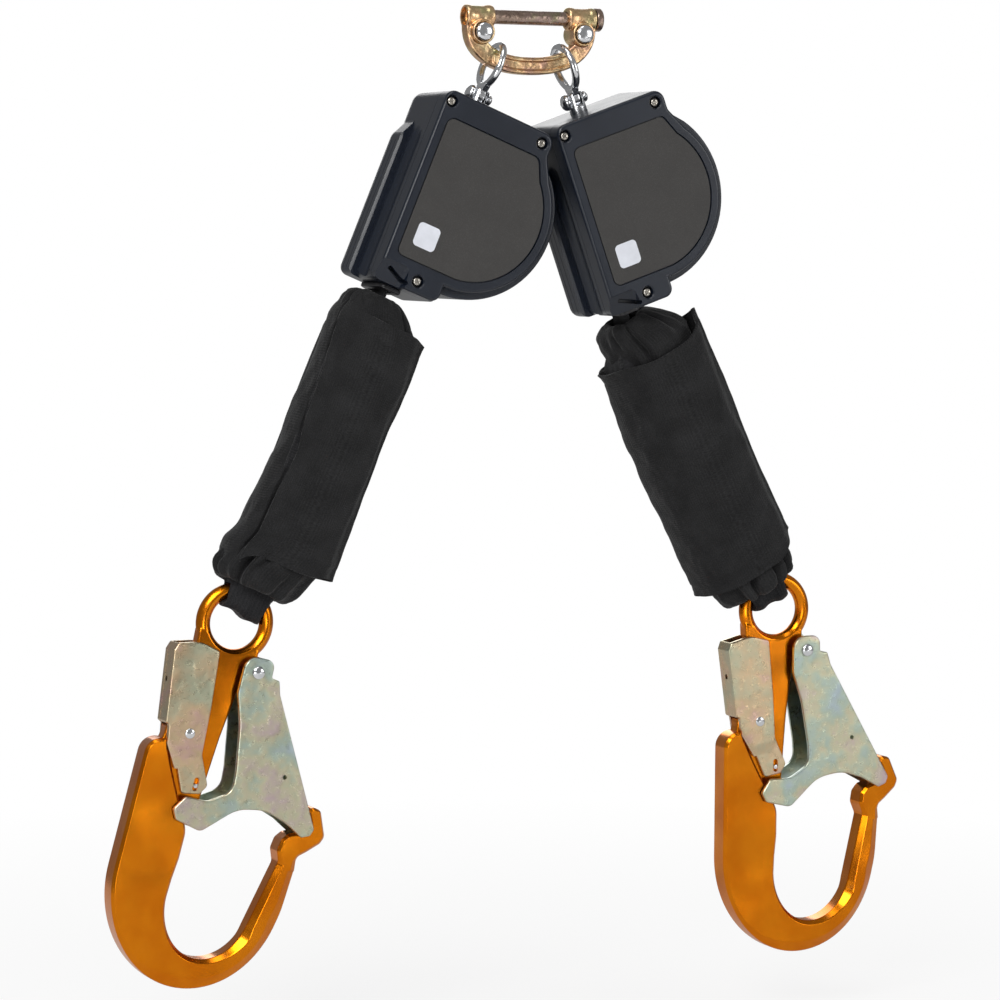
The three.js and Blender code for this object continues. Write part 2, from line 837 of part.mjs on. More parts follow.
function frontCover() {
  const coverRear = partingY - seatGap / 2;
  const hollow = plate(inset(coverOutline(faceRadius), wall), faceY + wall, partingY);
  const shell = cut(join(
    plate(coverOutline(faceRadius), faceY, coverRear),
    plate(coverOutline(shellRadius), stepY, coverRear),
  ), hollow);
  const bosses = screwPlaces.map(([x, z]) => barY(screwBossRadius, faceY + wall / 2, coverRear, x, z));
  const bores = screwPlaces.flatMap(([x, z]) => [
    barY(screwBoreRadius, faceY - overrun, faceY + screwBoreDepth, x, z),
    barY(screwRadius + runningGap, faceY, partingY, x, z),
  ]);
  return cut(
    join(shell, ...bosses),
    plate(labelOutline(seatGap), faceY - overrun, faceY + labelRecess),
    scoopTool(),
    ...bores,
  );
}

function rearCover() {
  const coverFront = partingY + seatGap / 2;
  const middle = [drumX, drumZ];
  const shell = cut(
    join(
      roundedShell(coverOutline(shellRadius), coverFront, rearY, rearRound, middle),
      roundedShell(coverOutline(shellRadius, sideBlockRise), rearY - sideBlockDepth, rearY, rearRound, middle),
    ),
    roundedShell(
      inset(coverOutline(shellRadius), wall),
      coverFront - overrun,
      rearY - wall,
      rearRound - wall,
      middle,
    ),
  );
  const bossRear = coverFront + screwBossDepth;
  const [lastX, lastZ] = screwPlaces[screwPlaces.length - 1];
  const bosses = screwPlaces.map(([x, z]) => barY(screwBossRadius, coverFront, bossRear, x, z));
  const rib = block(
    lastX - screwRadius,
    lastX + screwRadius,
    coverFront,
    bossRear,
    housingBottom + wall / 2,
    lastZ,
  );
  const holes = screwPlaces.map(([x, z]) => barY(
    screwRadius + runningGap,
    coverFront - overrun,
    faceY + screwLength + screwBoreDepth,
    x,
    z,
  ));
  const mouthX = nozzleNeckWide / 2 + seatGap;
  const mouthY = nozzleNeckLong / 2 + seatGap;
  return cut(
    join(shell, ...bosses, rib),
    ...holes,
    barZ(postRadius + runningGap, housingTop - wall - overrun, housingTop + overrun, facets),
    block(
      nozzleX - mouthX,
      nozzleX + mouthX,
      -mouthY,
      mouthY,
      housingBottom - overrun,
      housingBottom + wall + overrun,
    ),
  );
}

function labelPlate() {
  const front = faceY + labelRecess - seatGap - labelThickness;
  return plate(labelOutline(0), front, front + labelThickness);
}

function coverScrew([x, z]) {
  const seat = faceY + screwBoreDepth - seatGap;
  const half = screwHeadHeight / 2;
  const head = turnedY([
    [0, seat - screwHeadHeight],
    [screwHeadRadius - half, seat - screwHeadHeight],
    [screwHeadRadius, seat - half],
    [screwHeadRadius, seat],
    [screwRadius, seat],
    [screwRadius, seat + screwLength],
    [0, seat + screwLength],
  ], smallFacets);
  return head.translate(x, 0, z);
}

// Sheet bracket with a front cheek, a bridge over the drum and a rear cheek
function frame() {
  const half = frameWidth / 2;
  const cheek = rounded([
    [-half, bridgeTop, 0],
    [half, bridgeTop, 0],
    [drumX + half, drumZ, half],
    [drumX + half, drumZ - frameTail, half / 2],
    [drumX - half, drumZ - frameTail, half / 2],
    [drumX - half, drumZ, half],
  ]);
  const whole = join(
    plate(cheek, frameFront, frameFrontRear),
    plate(cheek, frameRearFront, frameRear),
    block(-half, half, frameFront, frameRear, bridgeBottom, bridgeTop),
  );
  return cut(
    whole,
    barZ(postRadius + runningGap, bridgeBottom - overrun, bridgeTop + overrun, facets),
    barY(shaftRadius + runningGap, frameFront - overrun, frameRear + overrun, drumX, drumZ, facets),
  );
}

function reelShaft() {
  return barY(shaftRadius, frameFront - shaftProud, frameRear + shaftProud, drumX, drumZ, facets);
}

// Fixed ring with teeth inside that the pawl catches
function ratchetRing() {
  const pitch = (2 * Math.PI) / ratchetTeeth;
  const at = (radius, angle) => [drumX - radius * Math.cos(angle), drumZ + radius * Math.sin(angle)];
  const inside = Array.from({ length: ratchetTeeth }, (_, k) => {
    const start = toothStartShare * 2 * Math.PI + k * pitch;
    return [
      at(ratchetTipRadius, start),
      at(ratchetRootRadius, start + toothRiseShare * pitch),
      at(ratchetRootRadius, start + toothGapShare * pitch),
    ];
  }).flat();
  const blank = barY(ratchetOuterRadius, brakeFront, brakeRear, drumX, drumZ, largeFacets);
  return cut(solid(blank), plate(inside, brakeFront - overrun, brakeRear + overrun));
}

function powerSpring() {
  return ringY(springInnerRadius, springOuterRadius, springFront, springRear).translate(drumX, 0, drumZ);
}

// Spool with two flanges and the pin that carries the pawl
function drum() {
  const whole = join(
    barY(drumCoreRadius, -flangeOuter, flangeOuter, 0, 0, largeFacets),
    barY(drumFlangeRadius, -flangeOuter, -drumHalf, 0, 0, largeFacets),
    barY(drumFlangeRadius, drumHalf, flangeOuter, 0, 0, largeFacets),
    barY(pawlPinRadius, brakeFront + runningGap, -drumHalf - drumFlange / 2, 0, pawlPivotRadius),
  );
  const bore = barY(shaftRadius + runningGap, -flangeOuter - overrun, flangeOuter + overrun, 0, 0, facets);
  return shaped(cut(whole, bore)).translate(drumX, 0, drumZ);
}

function woundWebbing() {
  const half = webbingWidth / 2;
  return ringY(drumCoreRadius + runningGap, woundRadius, -half, half).translate(drumX, 0, drumZ);
}

// Pawl on the drum's front flange, its nose just inside the ratchet teeth
function pawl() {
  const tipRadius = ratchetTipRadius - 2 * runningGap;
  const noseZ = Math.sqrt(tipRadius ** 2 - (pawlReach - pawlNose / 3) ** 2);
  const outline = rounded([
    [pawlHeel, pawlPivotRadius - pawlWall, pawlWall],
    [-pawlReach / 2, pawlPivotRadius - pawlWall, 0],
    [-pawlReach, noseZ - pawlNose, 0],
    [pawlNose / 3 - pawlReach, noseZ, 0],
    [-pawlReach / 2, pawlPivotRadius + pawlWall + pawlNose / 3, 0],
    [pawlHeel, pawlPivotRadius + pawlWall, pawlWall],
  ]);
  const body = cut(
    solid(plate(outline, brakeFront + runningGap, brakeRear)),
    barY(pawlPinRadius + runningGap, brakeFront - overrun, brakeRear + overrun, 0, pawlPivotRadius),
  );
  return shaped(body).translate(drumX, 0, drumZ);
}

function nozzle() {
  const lipTop = housingBottom - seatGap;
  const lipBottom = housingBottom - nozzleProud;
  const corner = nozzleWide / 4;
  const lip = plate(rounded([
    [-nozzleLong / 2, -nozzleWide / 2, corner],
    [nozzleLong / 2, -nozzleWide / 2, corner],
    [nozzleLong / 2, nozzleWide / 2, corner],
    [-nozzleLong / 2, nozzleWide / 2, corner],
  ]), 0, lipTop - lipBottom, nozzleProud / 4);
  lip.rotateX(Math.PI / 2).rotateZ(Math.PI / 2).translate(nozzleX, 0, lipBottom);
  const half = nozzleNeckWide / 2;
  const long = nozzleNeckLong / 2;
  const neckTop = lipTop + nozzleNeckDepth;
  return cut(
    join(lip, block(nozzleX - half, nozzleX + half, -long, long, lipTop - nozzleProud / 3, neckTop)),
    block(
      nozzleX - slotWide / 2,
      nozzleX + slotWide / 2,
      -slotLong / 2,
      slotLong / 2,
      lipBottom - overrun,
      neckTop + overrun,
    ),
  );
}

function webbingLead() {
  const half = webbingThickness / 2;
  const wide = webbingWidth / 2;
  return block(nozzleX - half, nozzleX + half, -wide, wide, swayZ - leadBelow, housingBottom + leadInside);
}

// Folded tear webbing in its wrap, drawn in at both ends
function absorberPack(shift) {
  const section = (s, share, shiftShare) => {
    const wide = packHalfWidth * share;
    const deep = packHalfDepth * share;
    return [
      [-wide, -deep + packEdge],
      [-wide + packEdge, -deep],
      [wide - packEdge, -deep],
      [wide, -deep + packEdge],
      [wide, deep - packEdge],
      [wide - packEdge, deep],
      [-wide + packEdge, deep],
      [-wide, deep - packEdge],
    ].map(([x, y]) => [x + shift * shiftShare, y, -s]);
  };
  return lofted([
    section(packTop, packEndShare, 0),
    section(packTop + packHalfDepth, 1, packShiftShare),
    section(packBottom - packHalfDepth, 1, 1),
    section(packBottom, packEndShare, 1),
  ]);
}

// One point of the cloth sleeve at a share of a turn, a depth inside its skin
function sleevePoint([lengthShare, wideShare, deepShare, shiftShare], turn, inward, shift) {
  const angle = turn * 2 * Math.PI;
  const squash = (value) => Math.sign(value) * Math.abs(value) ** (2 / sleeveSquareness);
  const loose = Math.sin(Math.PI * lengthShare);
  const folds = Math.cos(sleeveFolds * angle + sleeveTwists * 2 * Math.PI * lengthShare);
  const creases = Math.cos(2 * sleeveFolds * angle - sleeveTwists * 4 * Math.PI * lengthShare);
  const seams = sleeveSeamShares.reduce(
    (sum, seam) => sum + seam.rise * Math.exp(-(((turn - seam.turn) / seam.width) ** 2)),
    0,
  );
  const swell = 1 + loose * (sleeveFoldShares.wide * folds + sleeveFoldShares.crease * creases + seams);
  return [
    squash(Math.cos(angle)) * (sleeveHalfWidth * wideShare * swell - inward) + shift * shiftShare,
    squash(Math.sin(angle)) * (sleeveHalfDepth * deepShare * swell - inward),
    -(sleeveTop + (sleeveBottom - sleeveTop) * lengthShare),
  ];
}

// Open tube of cloth with its main folds
function absorberSleeve(shift) {
  const ring = (section, inward) => Array.from(
    { length: sleeveSides },
    (_, k) => sleevePoint(section, k / sleeveSides, inward, shift),
  );
  const outside = sleeveSectionShares.map((section) => ring(section, 0));
  const inside = sleeveSectionShares.map((section) => ring(section, sleeveWall)).reverse();
  return lofted([...outside, ...inside], true);
}

// Webbing sewn round the bar of the hook's eye, with its strap up to the pack
function hookLoop() {
  const eyeHalf = neckHalf + loopSideGap;
  const cavityInner = hookEyeInner - 2 * loopSideGap;
  const cavityOuter = hookEyeOuter + loopSideGap;
  const inner = cavityInner - loopThickness;
  const outer = cavityOuter + loopThickness;
  const half = eyeHalf + loopThickness;
  const section = (angle) => [[inner, -half], [outer, -half], [outer, half], [inner, half]].map(
    ([radius, y]) => [radius * Math.sin(angle), y, radius * Math.cos(angle)],
  );
  const sector = lofted(Array.from({ length: loopSteps + 1 }, (_, k) => section(
    radians(loopHalfAngleDegrees) * ((2 * k) / loopSteps - 1),
  )));
  const strapBottom = cavityOuter + loopThickness / 2;
  const strapTop = absorberLength - packBottom - seatGap;
  const strap = block(
    -strapWidth / 2,
    strapWidth / 2,
    -strapThickness / 2,
    strapThickness / 2,
    strapBottom,
    strapTop,
  );
  const cavity = ringY(cavityInner, cavityOuter, -eyeHalf, eyeHalf);
  return shaped(cut(join(sector, strap), cavity)).translate(0, 0, -absorberLength);
}

// Corners of a hook piece in millimetres, from its shares
function hookCorners(shares) {
  return shares.map(([across, up, round]) => [across * hookWidth, up * hookReach, round * hookWidth]);
}

// Place on the hook in millimetres
function hookPlace({ across, up }) {
  return [across * hookWidth, up * hookReach];
}

// Arc of the nose's floor about the gate rivet, between two corners
function noseFloor(from, to) {
  const [x, z] = hookPlace(gateRivetShares);
  const angle = (corner) => degrees(Math.atan2(corner[1] - z, corner[0] - x));
  const radius = Math.hypot(from[0] - x, from[1] - z);
  return arc(x, z, radius, radius, angle(from), angle(to)).slice(1, -1);
}

function hookBowl({ across, up, wide, deep }, from, to) {
  return arc(across * hookWidth, up * hookReach, wide * hookWidth, deep * hookReach, from, to);
}

function hookBody() {
  const spine = hookCorners(spineShares);
  const noseOuter = hookCorners(noseOuterShares);
  const noseInner = hookCorners(noseInnerShares);
  const thick = rounded([
    ...spine,
    ...hookBowl(bowlOuterShares, 180, 360),
    ...noseOuter,
    ...noseFloor(noseOuter[noseOuter.length - 1], noseInner[0]),
    ...noseInner,
    ...hookBowl(bowlInnerShares, 0, -180),
    ...hookCorners(throatShares),
  ]);
  const [gateX, gateZ] = hookPlace(gateRivetShares);
  const [leverX, leverZ] = hookPlace(leverRivetShares);
  const neck = cut(
    join(
      plate(rounded(hookCorners(neckShares)), -neckHalf, neckHalf, neckEdge),
      barY(gateLugRadius, -neckHalf, neckHalf, gateX, gateZ, facets),
    ),
    barY(hookEyeInner + neckEdge, -neckHalf - overrun, neckHalf + overrun, 0, 0, largeFacets),
  );
  const eye = turnedY([
    [hookEyeInner + neckEdge, -neckHalf],
    [hookEyeOuter - neckEdge, -neckHalf],
    [hookEyeOuter, -neckHalf + neckEdge],
    [hookEyeOuter, neckHalf - neckEdge],
    [hookEyeOuter - neckEdge, neckHalf],
    [hookEyeInner + neckEdge, neckHalf],
    [hookEyeInner, neckHalf - neckEdge],
    [hookEyeInner, -neckHalf + neckEdge],
    [hookEyeInner + neckEdge, -neckHalf],
  ], largeFacets);
  return cut(
    join(neck, eye, plate(thick, -hookHalf, hookHalf, hookEdge)),
    barY(gateRivetRadius + runningGap, -hookThickness, hookThickness, gateX, gateZ),
    barY(leverRivetRadius + runningGap, -hookThickness, hookThickness, leverX, leverZ),
  );
}

// Rivet through two cheeks, with a dome on each end
function rivet(place, radius, headRadius, dome, cheekOuter) {
  const seat = cheekOuter + seatGap;
  const cosine = Math.cos(Math.PI / 4);
  return turnedY([
    [0, -seat - dome],
    [headRadius * cosine, -seat - dome * cosine],
    [headRadius, -seat],
    [radius, -seat],
    [radius, seat],
    [headRadius, seat],
    [headRadius * cosine, seat + dome * cosine],
    [0, seat + dome],
  ], smallFacets).translate(place[0], 0, place[1]);
}

// Folded sheet: two cheeks with one outline, joined by a web along an edge
function foldedSheet(outline, web, inside, sheet) {
  const outer = inside + sheet;
  return join(
    plate(outline, -outer, -inside),
    plate(outline, inside, outer),
    plate(web, -inside - sheet / 2, inside + sheet / 2),
  );
}

function hookGate() {
  const reach = 2 * (gateInside + gateSheet);
  const [x, z] = hookPlace(gateRivetShares);
  const [holeX, holeZ] = hookPlace(gateHoleShares);
  return cut(
    foldedSheet(
      rounded(hookCorners(gateShares)),
      rounded(hookCorners(gateWebShares)),
      gateInside,
      gateSheet,
    ),
    barY(gateRivetRadius + runningGap, -reach, reach, x, z),
    barY(gateHoleRadius, -reach, reach, holeX, holeZ),
  );
}

function gateSpring() {
  const [x, z] = hookPlace(gateRivetShares);
  const front = neckHalf + gateSpringGap;
  const rear = gateInside - gateSpringGap;
  return ringY(gateSpringInner, gateSpringOuter, front, rear, facets).translate(x, 0, z);
}

function lockLever() {
  const reach = 2 * (leverInside + leverSheet);
  const [x, z] = hookPlace(leverRivetShares);
  const [slotX, slotZ] = hookPlace(leverSlotShares);
  const half = leverSlotWidth / 2;
  const long = leverSlotLength / 2;
  const slot = rounded([
    [slotX - half, slotZ - long, half],
    [slotX + half, slotZ - long, half],
    [slotX + half, slotZ + long, half],
    [slotX - half, slotZ + long, half],
  ]);
  return cut(
    foldedSheet(
      rounded(hookCorners(leverShares)),
      rounded(hookCorners(leverWebShares)),
      leverInside,
      leverSheet,
    ),
    barY(leverRivetRadius + runningGap, -reach, reach, x, z),
    plate(slot, -reach, reach),
  );
}

// Leaf that pushes the lock lever away from the neck
function leverSpring() {
  const path = hookCorners(leafShares);
  const near = path.map(([x, z]) => [x - leafSheet / 2, z]);
  const far = path.map(([x, z]) => [x + leafSheet / 2, z]).reverse();
  return plate([...near, ...far], -leafWidth / 2, leafWidth / 2);
}

// Place where a lifeline's ring hangs on the yoke, for a housing tilt
function hangPoint(side, tilt) {
  const contactZ = yokeHeight(hangAcross, yokeInnerHalfWidth, yokeInnerDrop);
  const half = yokeThickness / 2;
  const sagitta = eyeInnerRadius - Math.sqrt(eyeInnerRadius ** 2 - half ** 2);
  const lift = sagitta + seatGap + eyeWireRadius;
  return [
    side * hangAcross + lift * Math.sin(radians(tilt)),
    contactZ + lift * Math.cos(radians(tilt)),
  ];
}

// Group that hangs at a place, turned about Y
function hung(x, z, tilt) {
  const group = new THREE.Group();
  group.position.set(x, 0, z);
  group.rotation.y = radians(tilt);
  return group;
}

// One lifeline from its swivel eye down to its hook
function lifeline(prefix, side, tilts, sleeveShift) {
  const named = (name, shape, material) => piece(`${prefix}_${name}`, shape, material());
  const housing = hung(...hangPoint(side, tilts.housing), tilts.housing);
  const absorber = hung(nozzleX, swayZ, tilts.absorber - tilts.housing);
  const hook = hung(0, -absorberLength, tilts.hook - tilts.absorber);
  const gatePlace = hookPlace(gateRivetShares);
  const leverPlace = hookPlace(leverRivetShares);
  housing.add(
    named('swivel_eye', swivelEye(), finishes.chrome),
    named('eye_pin', eyePin(), finishes.chrome),
    named('swivel_post', swivelPost(), finishes.chrome),
    named('front_cover', frontCover(), finishes.housingPlastic),
    named('rear_cover', rearCover(), finishes.housingPlastic),
    named('label_plate', labelPlate(), finishes.labelFilm),
    ...screwPlaces.map((place, i) => named(`cover_screw_${i + 1}`, coverScrew(place), finishes.stainless)),
    named('frame', frame(), finishes.innerSteel),
    named('reel_shaft', reelShaft(), finishes.innerSteel),
    named('ratchet_ring', ratchetRing(), finishes.innerSteel),
    named('power_spring', powerSpring(), finishes.springSteel),
    named('drum', drum(), finishes.innerSteel),
    named('wound_webbing', woundWebbing(), finishes.webbing),
    named('pawl', pawl(), finishes.innerSteel),
    named('nozzle', nozzle(), finishes.blackPlastic),
    named('webbing_lead', webbingLead(), finishes.webbing),
    absorber,
  );
  absorber.add(
    named('absorber_pack', absorberPack(sleeveShift), finishes.webbing),
    named('absorber_sleeve', absorberSleeve(sleeveShift), finishes.sleeveCloth),
    named('hook_loop', hookLoop(), finishes.webbing),
    hook,
  );
  hook.add(
    named('hook_body', hookBody(), finishes.hookAnodised),
    named(
      'gate_rivet',
      rivet(gatePlace, gateRivetRadius, gateRivetHead, gateRivetDome, gateInside + gateSheet),
      finishes.chrome,
    ),
    named(
      'lever_rivet',
      rivet(leverPlace, leverRivetRadius, leverRivetHead, leverRivetDome, leverInside + leverSheet),
      finishes.chrome,
    ),
    named('gate', hookGate(), finishes.gatePlating),
    named('gate_spring', gateSpring(), finishes.springSteel),
    named('lock_lever', lockLever(), finishes.leverPlating),
    named('lever_spring', leverSpring(), finishes.springSteel),
  );
  return housing;
}

const part = new THREE.Group();
part.name = 'self_retracting_lifeline';
part.add(
  piece('yoke_body', yokeBody(), finishes.yokePlating()),
  piece('connector_pin', connectorPin(), finishes.pinPlating()),
  piece('lock_button_left', lockButton(-1), finishes.chrome()),
  piece('lock_button_right', lockButton(1), finishes.chrome()),
  lifeline('left', -1, leftTiltDegrees, leftSleeveShift),
  lifeline('right', 1, rightTiltDegrees, rightSleeveShift),
);

export default part;
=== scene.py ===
"""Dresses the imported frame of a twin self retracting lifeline.

The connector, the two reel housings, the cloth sleeves and the hooks are each a class.
Sizes are in millimetres in the classes and become metres in the meshes.
"""

import logging
import math
from dataclasses import dataclass, field
from enum import Enum
from typing import Optional, Sequence, Union

import bmesh
import bpy
from mathutils import Matrix, Vector, noise


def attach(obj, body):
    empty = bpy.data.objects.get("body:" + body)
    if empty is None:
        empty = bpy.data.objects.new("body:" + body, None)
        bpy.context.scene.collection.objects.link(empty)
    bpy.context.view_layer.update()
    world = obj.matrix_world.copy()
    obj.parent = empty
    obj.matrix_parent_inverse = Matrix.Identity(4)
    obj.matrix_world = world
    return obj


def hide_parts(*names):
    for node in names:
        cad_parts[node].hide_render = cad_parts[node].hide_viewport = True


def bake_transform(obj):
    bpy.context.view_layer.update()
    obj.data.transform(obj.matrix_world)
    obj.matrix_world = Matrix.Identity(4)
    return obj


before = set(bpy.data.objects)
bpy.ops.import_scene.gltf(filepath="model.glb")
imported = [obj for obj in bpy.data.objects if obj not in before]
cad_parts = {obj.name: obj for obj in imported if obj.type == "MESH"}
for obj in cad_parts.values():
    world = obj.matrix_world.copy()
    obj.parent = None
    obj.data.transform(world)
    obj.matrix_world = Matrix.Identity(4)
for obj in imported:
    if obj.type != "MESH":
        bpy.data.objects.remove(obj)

log = logging.getLogger("lifeline")

Point = tuple[float, float]
Corner = tuple[float, float, float]
Ring = list[Corner]
Number = Union[int, float]
Piece = bpy.types.Object

MM = 0.001
DRUM_X = 11.2
DRUM_Z = -97.6
NOZZLE_X = -14.0
HOUSING_FOOT = -157.6
SWAY_Z = -164.0
ABSORBER_LENGTH = 206.0
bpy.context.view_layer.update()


class Side(Enum):
    """The two lifelines, named as the viewer sees them."""

    LEFT = "left"
    RIGHT = "right"

    @property
    def sign(self) -> int:
        """Gives -1 on the left and 1 on the right."""
        return -1 if self is Side.LEFT else 1


class Merge(Enum):
    """Ways to combine two solids."""

    JOIN = "UNION"
    CUT = "DIFFERENCE"
    KEEP = "INTERSECT"


class Axis(Enum):
    """What a piece is turned about."""

    X = "X"
    Y = "Y"
    Z = "Z"


# Outlines


def rounded(corners: Sequence[Corner], step: float = 9.0) -> list[Point]:
    """Rounds the corners of an outline.

    Args:
        corners: x, z and radius of each corner in millimetres.
        step: Turn of one facet in degrees.

    Returns:
        The outline's points.
    """
    points: list[Point] = []
    count = len(corners)
    for i, (x, z, radius) in enumerate(corners):
        before = Vector(corners[i - 1][:2]) - Vector((x, z))
        after = Vector(corners[(i + 1) % count][:2]) - Vector((x, z))
        reach = min(before.length, after.length) / 2
        before.normalize()
        after.normalize()
        half = math.acos(max(-1.0, min(1.0, before.dot(after)))) / 2
        turn = math.pi - 2 * half
        if not radius or turn < math.radians(4):
            points.append((x, z))
            continue
        along = min(radius / math.tan(half), reach)
        curve = along * math.tan(half)
        centre = (before + after).normalized() * (curve / math.sin(half))
        start = before * along - centre
        side = 1 if before.cross(after) < 0 else -1
        steps = max(2, round(math.degrees(turn) / step))
        for k in range(steps + 1):
            angle = side * turn * k / steps
            cosine, sine = math.cos(angle), math.sin(angle)
            points.append((
                x + centre.x + start.x * cosine - start.y * sine,
                z + centre.y + start.x * sine + start.y * cosine,
            ))
    return points


def arc(
    x: float, z: float, wide: float, high: float, start: float, end: float, step: float = 4.0
) -> list[Corner]:
    """Gives the points of an ellipse's arc as corners of no radius.

    Args:
        x: Middle across.
        z: Middle height.
        wide: Half width.
        high: Half height.
        start: First angle in degrees.
        end: Last angle in degrees.
        step: Turn between two points in degrees.

    Returns:
        The corners.
    """
    steps = max(2, round(abs(end - start) / step))
    angles = [math.radians(start + (end - start) * k / steps) for k in range(steps + 1)]
    return [(x + wide * math.cos(a), z + high * math.sin(a), 0.0) for a in angles]


def inset(outline: Sequence[Point], distance: float) -> list[Point]:
    """Moves an outline inwards, or outwards for a negative distance.

    Args:
        outline: The outline's points.
        distance: How far each side moves, in millimetres.

    Returns:
        The moved points, as many as before.
    """
    count = len(outline)
    area = sum(
        outline[i - 1][0] * outline[i][1] - outline[i][0] * outline[i - 1][1] for i in range(count)
    )
    turn = 1 if area > 0 else -1
    moved: list[Point] = []
    for i, (x, z) in enumerate(outline):
        before = (Vector((x, z)) - Vector(outline[i - 1])).normalized()
        after = (Vector(outline[(i + 1) % count]) - Vector((x, z))).normalized()
        normal = Vector((-before.y - after.y, before.x + after.x)).normalized()
        spread = max(normal.x * -after.y + normal.y * after.x, 0.5)
        moved.append((x + normal.x * turn * distance / spread, z + normal.y * turn * distance / spread))
    return moved


def rounded_box(wide: float, high: float, radius: float, step: float = 9.0) -> list[Point]:
    """Gives a rounded rectangle about the middle.

    Args:
        wide: Half its width.
        high: Half its height.
        radius: Radius of its corners.
        step: Turn of one facet in degrees.

    Returns:
        The outline's points.
    """
    corners = ((-wide, -high), (wide, -high), (wide, high), (-wide, high))
    return rounded([(x, z, radius) for x, z in corners], step)


def quarter(steps: int, first: int = 0) -> list[float]:
    """Gives the angles of the steps up to a right angle."""
    return [math.pi / 2 * k / steps for k in range(first, steps + 1)]


def flat(outline: Sequence[Point], y: float) -> Ring:
    """Puts an outline at a depth."""
    return [(x, y, z) for x, z in outline]


def smooth(value: float) -> float:
    """Eases a share from 0 to 1."""
    value = max(0.0, min(1.0, value))
    return value * value * (3 - 2 * value)


# Modelling


